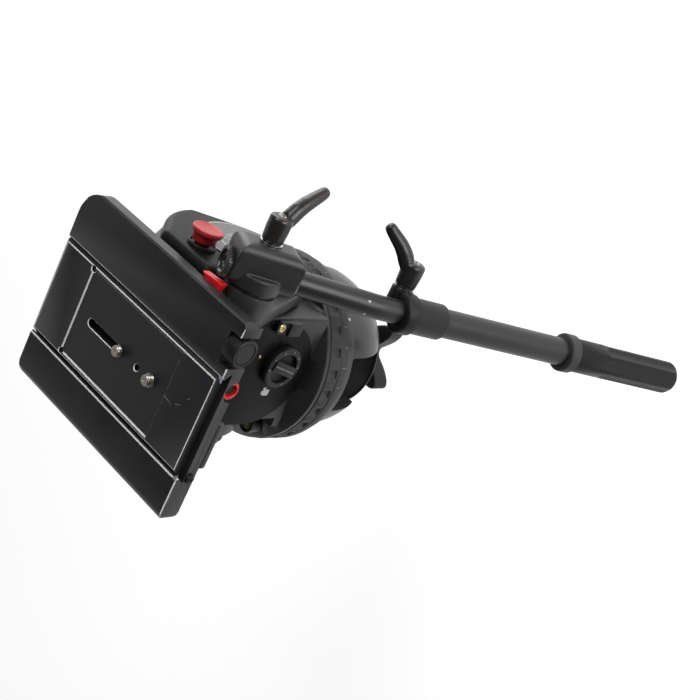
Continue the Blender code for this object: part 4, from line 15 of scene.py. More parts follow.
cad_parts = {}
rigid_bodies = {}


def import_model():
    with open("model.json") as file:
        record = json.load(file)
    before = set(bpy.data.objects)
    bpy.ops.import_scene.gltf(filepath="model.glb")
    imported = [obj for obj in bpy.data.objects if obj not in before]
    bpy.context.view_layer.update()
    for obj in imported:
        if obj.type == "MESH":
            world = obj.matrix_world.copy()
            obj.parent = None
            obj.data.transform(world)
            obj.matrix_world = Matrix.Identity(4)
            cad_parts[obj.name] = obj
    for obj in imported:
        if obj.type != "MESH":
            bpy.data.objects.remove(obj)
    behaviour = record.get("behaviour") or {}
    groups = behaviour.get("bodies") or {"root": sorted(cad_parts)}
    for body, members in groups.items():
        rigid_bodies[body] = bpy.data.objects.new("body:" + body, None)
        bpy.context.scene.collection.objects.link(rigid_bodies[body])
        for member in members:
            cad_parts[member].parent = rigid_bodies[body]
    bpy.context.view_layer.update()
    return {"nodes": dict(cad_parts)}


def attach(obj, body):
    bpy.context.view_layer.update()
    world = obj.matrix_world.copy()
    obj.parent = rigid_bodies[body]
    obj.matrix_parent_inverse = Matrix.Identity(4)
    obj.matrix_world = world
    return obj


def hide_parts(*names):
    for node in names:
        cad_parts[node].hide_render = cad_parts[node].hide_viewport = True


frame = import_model()
scene = bpy.context.scene
MM = 0.001

# %% [markdown]
# ## Camera
# The axes are the camera's own right, up and back directions, fitted to the photograph.

# %% Camera
CAMERA_PLACE = Vector((-0.463254, 0.740720, 0.951895))
CAMERA_RIGHT = Vector((-0.4157721, 0.6383504, -0.647798))
CAMERA_UP = Vector((-0.8403475, -0.5420227, 0.0052372))
CAMERA_BACK = Vector((-0.347778, 0.546553, 0.7617941))
LENS_MM = 73.197
SENSOR_MM = 36.0
CLIP_START, CLIP_END = 0.05, 20.0

camera_data = bpy.data.cameras.new("camera")
camera_data.sensor_fit = "HORIZONTAL"
camera_data.sensor_width = SENSOR_MM
camera_data.lens = LENS_MM
camera_data.clip_start = CLIP_START
camera_data.clip_end = CLIP_END
camera = bpy.data.objects.new("camera", camera_data)
scene.collection.objects.link(camera)
axes = Matrix((CAMERA_RIGHT, CAMERA_UP, CAMERA_BACK)).transposed()
camera.matrix_world = Matrix.Translation(CAMERA_PLACE) @ axes.to_4x4()
scene.camera = camera
scene.view_settings.view_transform = "Standard"
print("camera at", [round(v, 3) for v in CAMERA_PLACE])

# %% [markdown]
# ## Shared shader effects
# Each effect is a node group that gives colours, masks or normals.
# The materials below join them on one Principled shader.


# %% Shader helpers
WEAR_RADIUS = 0.0007


def node(tree, kind, inputs=None, **settings):
    """A node with its settings, and its inputs set to a value or linked to another node's output."""
    found = tree.nodes.new(kind)
    for label, value in settings.items():
        setattr(found, label, value)
    for label, value in (inputs or {}).items():
        if isinstance(value, bpy.types.NodeSocket):
            tree.links.new(value, found.inputs[label])
        else:
            found.inputs[label].default_value = value
    return found


def new_group(name, inputs, outputs):
    """A node group with number inputs and their first values, and outputs of the kinds given."""
    group = bpy.data.node_groups.new(name, "ShaderNodeTree")
    for label, value in inputs.items():
        socket = group.interface.new_socket(label, in_out="INPUT", socket_type="NodeSocketFloat")
        socket.default_value = value
    for label, kind in outputs.items():
        group.interface.new_socket(label, in_out="OUTPUT", socket_type=kind)
    return group, group.nodes.new("NodeGroupInput").outputs, group.nodes.new("NodeGroupOutput").inputs


def math_node(tree, operation, a, b, clamp=False):
    return node(tree, "ShaderNodeMath", {0: a, 1: b}, operation=operation, use_clamp=clamp).outputs[0]


def noise_node(tree, scale, detail, roughness, stretch=(1.0, 1.0, 1.0)):
    place = node(tree, "ShaderNodeTexCoord").outputs["Object"]
    place = node(tree, "ShaderNodeMapping", {"Scale": stretch, "Vector": place}).outputs["Vector"]
    inputs = {"Scale": scale, "Detail": detail, "Roughness": roughness, "Vector": place}
    return node(tree, "ShaderNodeTexNoise", inputs).outputs["Fac"]


def ramp(tree, value, low, high):
    """Zero below the low value, one above the high value, and a smooth step between."""
    inputs = {"Value": value, "From Min": low, "From Max": high}
    return node(tree, "ShaderNodeMapRange", inputs, interpolation_type="SMOOTHSTEP").outputs["Result"]


def edge_wear_group():
    """A mask that is high on convex edges, broken up by noise."""
    first = {"Radius": WEAR_RADIUS, "Amount": 0.5}
    group, given, wanted = new_group("edge_wear", first, {"Mask": "NodeSocketFloat"})
    rounded = node(group, "ShaderNodeBevel", {"Radius": given["Radius"]}, samples=6).outputs["Normal"]
    geometry = node(group, "ShaderNodeNewGeometry").outputs
    dot = node(group, "ShaderNodeVectorMath", {0: rounded, 1: geometry["Normal"]}, operation="DOT_PRODUCT")
    edge = ramp(group, math_node(group, "SUBTRACT", 1.0, dot.outputs["Value"]), 0.02, 0.14)
    convex = ramp(group, geometry["Pointiness"], 0.49, 0.53)
    broken = ramp(group, noise_node(group, 160.0, 6.0, 0.7), 0.36, 0.60)
    share = math_node(group, "ADD", 0.35, math_node(group, "MULTIPLY", convex, 0.65))
    mask = math_node(group, "MULTIPLY", math_node(group, "MULTIPLY", edge, broken), share)
    group.links.new(math_node(group, "MULTIPLY", mask, given["Amount"], clamp=True), wanted["Mask"])
    return group


def grain_group():
    """Roughness and bump of a fine moulded or blasted surface."""
    outputs = {"Roughness": "NodeSocketFloat", "Normal": "NodeSocketVector"}
    first = {"Grain scale": 900.0, "Bump": 0.1, "Roughness": 0.5}
    group, given, wanted = new_group("fine_grain", first, outputs)
    place = node(group, "ShaderNodeTexCoord").outputs["Object"]
    inputs = {"Scale": given["Grain scale"], "Detail": 3.0, "Vector": place}
    height = node(group, "ShaderNodeTexNoise", inputs).outputs["Fac"]
    bump = node(group, "ShaderNodeBump", {"Distance": 0.0003, "Strength": given["Bump"], "Height": height})
    broad = noise_node(group, 28.0, 5.0, 0.6)
    change = math_node(group, "MULTIPLY", math_node(group, "SUBTRACT", broad, 0.5), 0.28)
    group.links.new(math_node(group, "ADD", given["Roughness"], change, clamp=True), wanted["Roughness"])
    group.links.new(bump.outputs["Normal"], wanted["Normal"])
    return group


def scuff_group():
    """Thin pale scratches and dust specks."""
    group, given, wanted = new_group("scuffs", {"Amount": 0.5}, {"Mask": "NodeSocketFloat"})
    masks = []
    for stretch, scale in (((1.0, 0.05, 0.3), 260.0), ((0.06, 1.0, 0.4), 230.0)):
        line = ramp(group, noise_node(group, scale, 2.0, 0.5, stretch), 0.73, 0.78)
        patch = ramp(group, noise_node(group, 22.0, 3.0, 0.6), 0.54, 0.66)
        masks.append(math_node(group, "MULTIPLY", line, patch))
    specks = ramp(group, noise_node(group, 620.0, 2.0, 0.5), 0.76, 0.80)
    total = math_node(group, "ADD", math_node(group, "ADD", masks[0], masks[1]), specks)
    group.links.new(math_node(group, "MULTIPLY", total, given["Amount"], clamp=True), wanted["Mask"])
    return group


EDGE_WEAR = edge_wear_group()
FINE_GRAIN = grain_group()
SCUFFS = scuff_group()
print("shader groups:", [g.name for g in (EDGE_WEAR, FINE_GRAIN, SCUFFS)])

# %% [markdown]
# ## Materials
# Black finishes share one recipe: a dark coat, a paler scuff colour and bare metal where the edges are worn.
# Colours are in thousandths of white.

# %% Material helpers
BARE_METAL = (550, 540, 520)
SCUFF_COLOUR = (160, 160, 160)
WORN_ROUGHNESS = 0.34


def mixed(tree, kind, factor, a, b):
    """A blend of two numbers (FLOAT) or two colours (RGBA)."""
    first, answer = (6, 2) if kind == "RGBA" else (2, 0)
    values = [tuple(part / 1000 for part in v) + (1.0,) if isinstance(v, tuple) else v for v in (a, b)]
    inputs = {0: factor, first: values[0], first + 1: values[1]}
    return node(tree, "ShaderNodeMix", inputs, data_type=kind).outputs[answer]


def new_material(name):
    material = bpy.data.materials.new(name)
    material.use_nodes = True
    return material, material.node_tree, material.node_tree.nodes["Principled BSDF"]


def feed(tree, shader, **values):
    """Sets or links the shader's own sockets."""
    for label, value in values.items():
        socket = shader.inputs[label.replace("_", " ")]
        if isinstance(value, bpy.types.NodeSocket):
            tree.links.new(value, socket)
        else:
            socket.default_value = value


def coated(name, coat, tone, rough, grain, bump, wear, scuffs, bare=BARE_METAL, metallic=0.0, shine=0.5):
    """A dark coat whose colour drifts between two tones, with scuffs and worn edges."""
    material, tree, shader = new_material(name)
    drift = ramp(tree, noise_node(tree, 14.0, 5.0, 0.6), 0.38, 0.62)
    colour = mixed(tree, "RGBA", drift, coat, tone)
    inputs = {"Grain scale": grain, "Bump": bump, "Roughness": rough}
    fine = node(tree, "ShaderNodeGroup", inputs, node_tree=FINE_GRAIN).outputs
    roughness = fine["Roughness"]
    if scuffs > 0.0:
        scuff = node(tree, "ShaderNodeGroup", {"Amount": scuffs}, node_tree=SCUFFS).outputs["Mask"]
        colour = mixed(tree, "RGBA", scuff, colour, SCUFF_COLOUR)
    if wear > 0.0:
        inputs = {"Radius": WEAR_RADIUS, "Amount": wear}
        edge = node(tree, "ShaderNodeGroup", inputs, node_tree=EDGE_WEAR).outputs["Mask"]
        colour = mixed(tree, "RGBA", edge, colour, bare)
        roughness = mixed(tree, "FLOAT", edge, roughness, WORN_ROUGHNESS)
        metallic = math_node(tree, "ADD", metallic, math_node(tree, "MULTIPLY", edge, 0.8), clamp=True)
    feed(tree, shader, Base_Color=colour, Roughness=roughness, Metallic=metallic, Normal=fine["Normal"])
    feed(tree, shader, Specular_IOR_Level=shine)
    return material


def metal(name, colour, tone, rough, stretch, scale, bump):
    """Bare metal with fine turning or brushing marks."""
    material, tree, shader = new_material(name)
    lines = noise_node(tree, scale, 4.0, 0.6, stretch)
    colour = mixed(tree, "RGBA", ramp(tree, lines, 0.35, 0.7), colour, tone)
    change = math_node(tree, "MULTIPLY", math_node(tree, "SUBTRACT", lines, 0.5), 0.3)
    inputs = {"Strength": bump, "Distance": 0.0002, "Height": lines}
    marks = node(tree, "ShaderNodeBump", inputs).outputs["Normal"]
    feed(tree, shader, Base_Color=colour, Metallic=1.0, Normal=marks)
    feed(tree, shader, Roughness=math_node(tree, "ADD", rough, change, clamp=True))
    return material


def worn_line(name, share, dark, bright):
    """The narrow chamfer of a worn edge: bare metal broken by what is left of the coat."""
    material, tree, shader = new_material(name)
    left = ramp(tree, noise_node(tree, 90.0, 6.0, 0.75), share - 0.05, share + 0.05)
    colour = mixed(tree, "RGBA", left, bright, dark)
    feed(tree, shader, Base_Color=colour, Roughness=mixed(tree, "FLOAT", left, 0.42, 0.5))
    return material


# %% Materials
BLACK = (12, 12, 14)
ANODISED = coated("black_anodised", (8, 8.2, 10), (12, 12.2, 14.5), 0.42, 1400.0, 0.05, 0.25, 0.35)
ANODISED_TUBE = coated("black_anodised_tube", (12, 12, 13.5), (17, 17, 18.5), 0.36, 1500.0, 0.04, 0.2, 0.30)
WORN = worn_line("worn_edge", 0.68, BLACK, (880, 870, 860))
BARE = worn_line("bare_grey", 0.68, (100, 100, 110), (360, 370, 390))
WORN_SOFT = worn_line("worn_edge_soft", 0.46, BLACK, (340, 330, 320))
PAINT = coated("satin_black_paint", (13, 12.8, 12.5), (20, 19.7, 19), 0.40, 1100.0, 0.12, 0.22, 0.14)
BALL_PAINT = coated("ball_black", (50, 50, 50), (70, 70, 69), 0.30, 1200.0, 0.08, 0.2, 0.14, metallic=0.45)
# The rear panel's black coat is painted darker than the body's paint and given less shine: painted shade
# where the platform above shades the panel.
PANEL_WITH_PAINTED_SHADE = coated("black_panel_painted_shade", (4, 4, 4.2), (6, 6, 6.2), 0.42, 1200.0, 0.06, 0.15, 0.20, shine=0.10)
CAST = coated("dark_grey_paint", (17, 16.5, 16), (24, 23.2, 22.5), 0.43, 1200.0, 0.22, 0.20, 0.12)
COVER = coated(
    "dark_grey_cover", (9.5, 9.2, 9), (14.5, 14, 13.6), 0.43, 1200.0, 0.22, 0.20, 0.12, shine=0.12
)
PLASTIC = coated(
    "black_plastic", (7, 6.6, 6.2), (11, 10.5, 10), 0.46, 1000.0, 0.20, 0.10, 0.12, (100, 100, 100),
    shine=0.32,
)
HANDLE = coated("black_handle", (12, 11, 10), (23, 20, 18), 0.33, 380.0, 0.35, 0.16, 0.35, (240, 210, 190))
RUBBER = coated("black_rubber", (23, 22.6, 21.6), (35, 34.2, 32.5), 0.55, 800.0, 0.30, 0.0, 0.16)
GRIP = coated("grip_rubber", (8.5, 8.5, 8.5), (12.5, 12.5, 12.5), 0.36, 1100.0, 0.10, 0.0, 0.08, shine=0.20)
RED = coated("red_plastic", (420, 20, 26), (520, 34, 40), 0.40, 700.0, 0.10, 0.12, 0.10, (750, 300, 300))
RED_BRIGHT = coated(
    "red_plastic_bright", (620, 6, 10), (680, 12, 16), 0.34, 700.0, 0.08, 0.10, 0.10, (800, 300, 300)
)
STEEL = metal("steel", (550, 520, 480), (340, 320, 290), 0.34, (1.0, 1.0, 6.0), 500.0, 0.12)
CHROME = metal("chrome", (800, 780, 760), (620, 600, 580), 0.16, (1.0, 1.0, 1.0), 300.0, 0.03)
BRASS = metal("brass", (600, 470, 270), (420, 330, 180), 0.36, (1.0, 1.0, 1.0), 600.0, 0.06)
PALE_MARK = coated("pale_marks", (550, 540, 520), (680, 670, 650), 0.5, 900.0, 0.05, 0.0, 0.0)
DIM_MARK = coated("dim_marks", (150, 145, 140), (240, 230, 220), 0.5, 900.0, 0.05, 0.0, 0.0)
LABEL = coated("label_grey", (110, 110, 116), (150, 150, 156), 0.42, 900.0, 0.04, 0.0, 0.2)
VIAL = coated("level_fluid", (300, 290, 130), (420, 400, 200), 0.18, 300.0, 0.02, 0.0, 0.0)
# Near-black: the printed circle on the level vial, and painted shade in the hollow of the safety catch.
DARK_PRINT_AND_SHADE = coated("dark_print_and_painted_shade", (4, 4, 4), (6, 6, 6), 0.7, 800.0, 0.1, 0.0, 0.0)
print("materials:", len(bpy.data.materials))


# %% [markdown]
# ## Modelling helpers
# A piece is modelled with modifiers, then baked: its final mesh is kept with its place in the vertices,
# the object goes to the origin, it is tied to its CAD body, and the CAD node that it stands for is hidden.

# %% Geometry helpers
WORK = bpy.data.collections.new("work")
scene.collection.children.link(WORK)
FINISHED = []
MERGE_WITHIN = 1e-6
X_AXIS, Y_AXIS, Z_AXIS, LEFT = (1, 0, 0), (0, 1, 0), (0, 0, 1), (-1, 0, 0)


def metres(point):
    """A point drawn in millimetres as a vector in metres."""
    return Vector([value * MM for value in point])


def add(name, mesh):
    obj = bpy.data.objects.new(name, mesh)
    WORK.objects.link(obj)
    return obj


def shaped(name, bm):
    bmesh.ops.recalc_face_normals(bm, faces=bm.faces)
    mesh = bpy.data.meshes.new(name)
    bm.to_mesh(mesh)
    bm.free()
    return add(name, mesh)


def facing(place, direction, side=None):
    """A place in metres with local Z along the direction and local X towards the side."""
    z_axis = Vector(direction).normalized()
    hint = Vector(X_AXIS if side is None else side)
    if abs(hint.normalized().dot(z_axis)) > 0.99:
        hint = Vector(Y_AXIS)
    x_axis = (hint - hint.dot(z_axis) * z_axis).normalized()
    turned = Matrix((x_axis, z_axis.cross(x_axis), z_axis)).transposed()
    return Matrix.Translation(place) @ turned.to_4x4()


def aim(obj, origin, direction, side=None):
    obj.matrix_world = facing(metres(origin), direction, side)
    return obj


def box(name, low, high):
    bm = bmesh.new()
    bmesh.ops.create_cube(bm, size=1.0)
    low, high = metres(low), metres(high)
    bmesh.ops.scale(bm, vec=high - low, verts=bm.verts)
    bmesh.ops.translate(bm, vec=(low + high) / 2.0, verts=bm.verts)
    return shaped(name, bm)


def small_box(name, low, high, origin=(0, 0, 0), direction=Z_AXIS, side=None):
    """A box in the local axes of a turned part."""
    return aim(box(name, low, high), origin, direction, side)


def rod(radius, start, end, steps=64, name="rod"):
    start, end, radius = metres(start), metres(end), radius * MM
    bm = bmesh.new()
    long = (end - start).length
    bmesh.ops.create_cone(bm, cap_ends=True, segments=steps, radius1=radius, radius2=radius, depth=long)
    obj = shaped(name, bm)
    obj.matrix_world = facing((start + end) / 2.0, end - start)
    return obj


def lathe(name, points, origin=(0, 0, 0), direction=Z_AXIS, side=None, steps=96, closed=False):
    """Spins a (radius, height) profile round the direction through the origin."""
    bm = bmesh.new()
    rings = []
    for radius, height in points:
        ring = []
        for i in range(steps if radius > 0.0 else 1):
            angle = 2.0 * math.pi * i / steps
            ring.append(bm.verts.new(metres((radius * math.cos(angle), radius * math.sin(angle), height))))
        rings.append(ring)
    pairs = list(zip(rings, rings[1:]))
    if closed:
        pairs.append((rings[-1], rings[0]))
    for a, b in pairs:
        for i in range(steps):
            j = (i + 1) % steps
            kept = []
            for corner in (a[i % len(a)], a[j % len(a)], b[j % len(b)], b[i % len(b)]):
                if corner not in kept:
                    kept.append(corner)
            if len(kept) > 2:
                bm.faces.new(kept)
    return aim(shaped(name, bm), origin, direction, side)


def stacked(name, rings):
    """Closes a stack of equally long rings of points, in metres, into a solid."""
    bm = bmesh.new()
    rings = [[bm.verts.new(point) for point in ring] for ring in rings]
    bm.faces.new(rings[0])
    bm.faces.new(rings[-1])
    for a, b in zip(rings, rings[1:]):
        for i in range(len(a)):
            j = (i + 1) % len(a)
            bm.faces.new((a[i], a[j], b[j], b[i]))
    return shaped(name, bm)


def prism(name, loop, depth, origin, direction, side):
    """A flat outline of (u, v) points, extruded by a depth centred on the origin."""
    rings = [[(u * MM, v * MM, w * MM) for u, v in loop] for w in (-depth / 2.0, depth / 2.0)]
    return aim(stacked(name, rings), origin, direction, side)


def yz_prism(name, loop, low, high):
    return prism(name, loop, abs(high - low), ((low + high) / 2.0, 0, 0), X_AXIS, Y_AXIS)


def xz_prism(name, loop, low, high):
    return prism(name, loop, abs(high - low), (0, (low + high) / 2.0, 0), (0, -1, 0), X_AXIS)


def xy_prism(name, loop, low, high):
    return prism(name, loop, abs(high - low), (0, 0, (low + high) / 2.0), Z_AXIS, X_AXIS)


def tube(name, route, radii, steps):
    """A round bar along a route, with a radius at each point."""
    curve = bpy.data.curves.new(name, "CURVE")
    curve.dimensions = "3D"
    curve.bevel_depth = 1.0
    curve.bevel_resolution = steps
    curve.use_fill_caps = True
    spline = curve.splines.new("POLY")
    spline.points.add(len(route) - 1)
    for point, place, radius in zip(spline.points, route, radii):
        point.co = (*metres(place), 1.0)
        point.radius = radius * MM
    return converted(add(name, curve), name)


def converted(holder, name):
    """The holder's evaluated shape as a plain mesh object in its place."""
    bpy.context.view_layer.update()
    graph = bpy.context.evaluated_depsgraph_get()
    mesh = bpy.data.meshes.new_from_object(holder.evaluated_get(graph))
    place = holder.matrix_world.copy()
    bpy.data.objects.remove(holder, do_unlink=True)
    bm = bmesh.new()
    bm.from_mesh(mesh)
    bmesh.ops.remove_doubles(bm, verts=bm.verts, dist=MERGE_WITHIN)
    bmesh.ops.recalc_face_normals(bm, faces=bm.faces)
    bm.to_mesh(mesh)
    bm.free()
    obj = add(name, mesh)
    obj.matrix_world = place
    return obj


def modifier(obj, kind, **settings):
    step = obj.modifiers.new(kind.title(), kind)
    for label, value in settings.items():
        setattr(step, label, value)
    return step


def combine(obj, operation, *others):
    for other in others:
        modifier(obj, "BOOLEAN", operation=operation, object=other, solver="EXACT")
    obj = converted(obj, obj.name)
    for other in others:
        bpy.data.objects.remove(other, do_unlink=True)
    return obj


def cut(obj, *others):
    return combine(obj, "DIFFERENCE", *others)


def join(obj, *others):
    return combine(obj, "UNION", *others)


def with_slots(obj, count):
    while len(obj.data.materials) < count:
        obj.data.materials.append(None)
    return obj


def bevel(obj, width, segments=3, degrees=35.0, material=-1):
    step = modifier(obj, "BEVEL", width=width * MM, segments=segments, material=material)
    step.limit_method = "ANGLE"
    step.angle_limit = math.radians(degrees)
    step.harden_normals = False
    step.use_clamp_overlap = True
    return with_slots(obj, material + 1)


def worn_edges(obj, width, rule, sharp=25.0):
    """Bevels the sharp edges whose middle point meets the rule, and gives the strip the second material."""
    obj = converted(obj, obj.name)
    bm = bmesh.new()
    bm.from_mesh(obj.data)
    weight = bm.edges.layers.float.new("bevel_weight_edge")
    for edge in bm.edges:
        if len(edge.link_faces) != 2 or edge.calc_face_angle(0.0) < math.radians(sharp):
            continue
        if rule(obj.matrix_world @ ((edge.verts[0].co + edge.verts[1].co) / 2.0) / MM):
            edge[weight] = 1.0
    bm.to_mesh(obj.data)
    bm.free()
    step = modifier(obj, "BEVEL", width=width * MM, segments=1, limit_method="WEIGHT", material=1)
    step.use_clamp_overlap = False
    return with_slots(obj, 2)


def paint_faces(obj, index, rule):
    """Gives the faces that meet a rule on normal and centre another material slot."""
    with_slots(obj, index + 1)
    for face in obj.data.polygons:
        if rule(obj.matrix_world.to_3x3() @ face.normal, obj.matrix_world @ face.center / MM):
            face.material_index = index


def radial_loop(loop, centre, count):
    """The convex outline seen from a centre, sampled at equal angles."""
    found = []
    for k in range(count):
        angle = 2.0 * math.pi * k / count
        u, v = math.cos(angle), math.sin(angle)
        best = 0.0
        for i, a in enumerate(loop):
            b = loop[(i + 1) % len(loop)]
            ax, ay, ex, ey = a[0] - centre[0], a[1] - centre[1], b[0] - a[0], b[1] - a[1]
            cross = u * ey - v * ex
            if abs(cross) < 1e-9:
                continue
            share = (ax * v - ay * u) / cross
            if -1e-9 <= share <= 1.0 + 1e-9:
                best = max(best, (ax * ey - ay * ex) / cross)
        found.append((centre[0] + u * best, centre[1] + v * best))
    return found


def dome(name, circles, layers, centre, count=220):
    """A convex plate in the YZ plane whose outline draws in layer by layer: (x, inset)."""
    rings = []
    for x, inset in layers:
        points = []
        for y, z, radius in circles:
            points += arc((y, z), radius - inset, 0, 360, 90)
        rings.append([(x * MM, y * MM, z * MM) for y, z in radial_loop(hull(points), centre, count)])
    return stacked(name, rings)


def cast_shape(obj, voxel, rounds):
    """Melts joined shapes into one casting with soft inner corners."""
    modifier(obj, "REMESH", mode="VOXEL", voxel_size=voxel * MM, use_smooth_shade=True)
    modifier(obj, "SMOOTH", iterations=rounds, factor=0.5)
    return obj


def arc(centre, radius, from_deg, to_deg, count):
    points = []
    for i in range(count + 1):
        angle = math.radians(from_deg + (to_deg - from_deg) * i / count)
        points.append((centre[0] + radius * math.cos(angle), centre[1] + radius * math.sin(angle)))
    return points


def hull(points):
    """The convex outline round the points."""
    ordered = sorted(set((round(u, 4), round(v, 4)) for u, v in points))

    def turn(a, b, c):
        return (b[0] - a[0]) * (c[1] - a[1]) - (b[1] - a[1]) * (c[0] - a[0])

    def chain(sequence):
        found = []
        for point in sequence:
            while len(found) > 1 and turn(found[-2], found[-1], point) <= 0:
                found.pop()
            found.append(point)
        return found[:-1]

    return chain(ordered) + chain(reversed(ordered))


def polar(radius, degrees, z=0.0):
    return Vector((radius * math.cos(math.radians(degrees)), radius * math.sin(math.radians(degrees)), z))


def finish(obj, body, materials, angle=35.0):
    """Bakes a piece, gives it its materials, ties it to its body and hides the CAD node of its name."""
    name = obj.name
    obj.name = name + "_work"
    baked = converted(obj, name + "_baked")
    mesh = baked.data
    mesh.transform(baked.matrix_world)
    baked.matrix_world = Matrix.Identity(4)
    baked.name = "v_" + name
    materials = materials if isinstance(materials, list) else [materials]
    indices = [p.material_index for p in mesh.polygons]
    mesh.materials.clear()
    for item in materials:
        mesh.materials.append(item)
    for polygon, index in zip(mesh.polygons, indices):
        polygon.material_index = min(index, len(materials) - 1)
    mesh.shade_smooth()
    mesh.set_sharp_from_angle(angle=math.radians(angle))
    WORK.objects.unlink(baked)
    scene.collection.objects.link(baked)
    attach(baked, body)
    cad_node = name.split(".")[0]
    if cad_node in frame["nodes"]:
        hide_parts(cad_node)
    FINISHED.append(baked)
    return baked


# %% [markdown]
# ## Repeats with Geometry Nodes
# Ribs, flutes and scale marks are one small mesh, copied round an axis by a node tree.


# %% Ring of copies
def ring_of_copies_tree():
    tree = bpy.data.node_groups.new("ring_of_copies", "GeometryNodeTree")
    sockets = {}
    kinds = {"Count": "Int", "Step": "Float", "First": "Float"}
    for label in ("Geometry", "Count", "Step", "First", "Material"):
        kind = "NodeSocket" + kinds.get(label, label)
        socket = tree.interface.new_socket(label, in_out="INPUT", socket_type=kind)
        sockets[label] = socket.identifier
    tree.interface.new_socket("Geometry", in_out="OUTPUT", socket_type="NodeSocketGeometry")
    given = tree.nodes.new("NodeGroupInput").outputs
    wanted = tree.nodes.new("NodeGroupOutput").inputs
    line = node(tree, "GeometryNodeMeshLine", {"Offset": (0.0, 0.0, 0.0), "Count": given["Count"]})
    index = node(tree, "GeometryNodeInputIndex").outputs[0]
    inputs = {0: index, 1: given["Step"], 2: given["First"]}
    angle = node(tree, "ShaderNodeMath", inputs, operation="MULTIPLY_ADD").outputs[0]
    turn = node(tree, "ShaderNodeCombineXYZ", {"Z": angle}).outputs[0]
    inputs = {"Points": line.outputs["Mesh"], "Instance": given["Geometry"], "Rotation": turn}
    copies = node(tree, "GeometryNodeInstanceOnPoints", inputs).outputs[0]
    real = node(tree, "GeometryNodeRealizeInstances", {0: copies}).outputs[0]
    painted = node(tree, "GeometryNodeSetMaterial", {"Geometry": real, "Material": given["Material"]})
    tree.links.new(painted.outputs[0], wanted[0])
    return tree, sockets


RING_TREE, RING_SOCKETS = ring_of_copies_tree()


def ring_of(obj, count, material, first_deg=0.0, step_deg=None):
    """Copies an object's mesh round its own local Z axis."""
    step_deg = 360.0 / count if step_deg is None else step_deg
    step = modifier(obj, "NODES", node_group=RING_TREE)
    step[RING_SOCKETS["Count"]] = count
    step[RING_SOCKETS["Step"]] = math.radians(step_deg)
    step[RING_SOCKETS["First"]] = math.radians(first_deg)
    step[RING_SOCKETS["Material"]] = material
    return converted(obj, obj.name)


# %% [markdown]
# ## Base
# The half ball hangs below the ring. Three arched windows open it towards the stud.


# %% Half ball
def half_ball():
    outer = [(math.sqrt(75**2 - z * z), z) for z in [14.5 - 54.5 * i / 24 for i in range(25)]]
    inner = [(math.sqrt(62**2 - z * z), z) for z in [-40 + 40 * i / 16 for i in range(17)]]
    points = [(0, 24.6), (81.2, 24.6), (82, 23.8), (82, 15.3), (81.2, 14.5)]
    points += outer + inner + [(62, 11), (26, 11), (26, -33), (23, -36), (0, -36)]
    obj = lathe("half_ball", points, steps=144)
    cutters = [rod(6.3, (0, 0, -11.7), (0, 0, -50))]
    half, corner, high = 27.5, 6, 8.5
    for i in range(3):
        degrees = 90.0 + i * 120.0
        near, far = polar(32, degrees), polar(79, degrees)
        arch = [(half, -44)] + arc((half - corner, high - corner), corner, 0, 90, 10)
        arch += arc((corner - half, high - corner), corner, 90, 180, 10) + [(-half, -44)]
        side = Vector(Z_AXIS).cross(near - far)
        cutters.append(prism(f"window_{i}", arch, (far - near).length, (near + far) / 2, near - far, side))
    dot = polar(79, 136.0, 19.5)
    cutters.append(rod(1.9, dot, polar(86, 136.0, 19.5), 24))
    obj = cut(obj, *cutters)
    bevel(obj, 0.9, 3, 40.0, 1)
    finish(obj, "base", [BALL_PAINT, WORN_SOFT])
    mark = lathe(
        "pan_index_dot", [(0, 3.4), (1.2, 3.4), (1.6, 3), (1.6, 0)], dot + polar(0.3, 136.0),
        polar(1.0, 136.0), steps=24,
    )
    finish(mark, "base", PALE_MARK)


def tie_down():
    thread = [(0, -12)]
    pitch, depth, z = 1.75, 0.8, -14
    thread.append((5.2, -12))
    while z > -103.5:
        thread += [(6, z), (6, z - pitch * 0.35), (6 - depth, z - pitch * 0.7)]
        z -= pitch
    thread += [(5, -105), (0, -105)]
    finish(lathe("tie_down_stud", thread, steps=40), "base", STEEL)
    rim, hub_top, hub_bottom, bore = -47.5, -57.1, -65.6, 6.3
    dish = [
        (56.5, rim), (57, rim - 0.6), (57, rim - 1.8), (56.2, rim - 2.4), (40, rim - 7.5),
        (22, hub_top - 2.4), (16.5, hub_top - 3.4), (16, hub_top - 4.5), (16, hub_bottom + 1),
        (15, hub_bottom), (bore, hub_bottom), (bore, hub_top), (16, hub_top), (38, rim - 5.8), (54.6, rim),
    ]
    obj = lathe("tie_down_dish", dish, steps=128, closed=True)
    finish(bevel(obj, 0.5, 2, 40.0), "dish", PAINT)
    loop = []
    for i in range(150):
        angle = 360.0 * i / 150
        share = ((1.0 + math.cos(math.radians(angle * 5))) / 2.0) ** 1.7
        point = polar(21 + 29 * share, angle + 64.0)
        loop.append((point.x, point.y))
    star_top = hub_bottom - 0.3 - 12
    star = xy_prism("tie_down_knob", loop, star_top, star_top - 19)
    star.data.materials.append(None)
    hub = lathe(
        "hub",
        [
            (0, hub_bottom - 0.3), (14.5, hub_bottom - 0.3), (15, hub_bottom - 1), (16.5, star_top - 4),
            (0, star_top - 4),
        ],
        steps=64,
    )
    star = join(star, hub)
    star = cut(star, rod(bore, (0, 0, -60), (0, 0, -110), 40))
    cast = cast_shape(star, 0.9, 10)
    finish(cast, "tie_down_knob", PLASTIC, angle=60.0)


half_ball()
tie_down()
print("base pieces:", len(FINISHED))


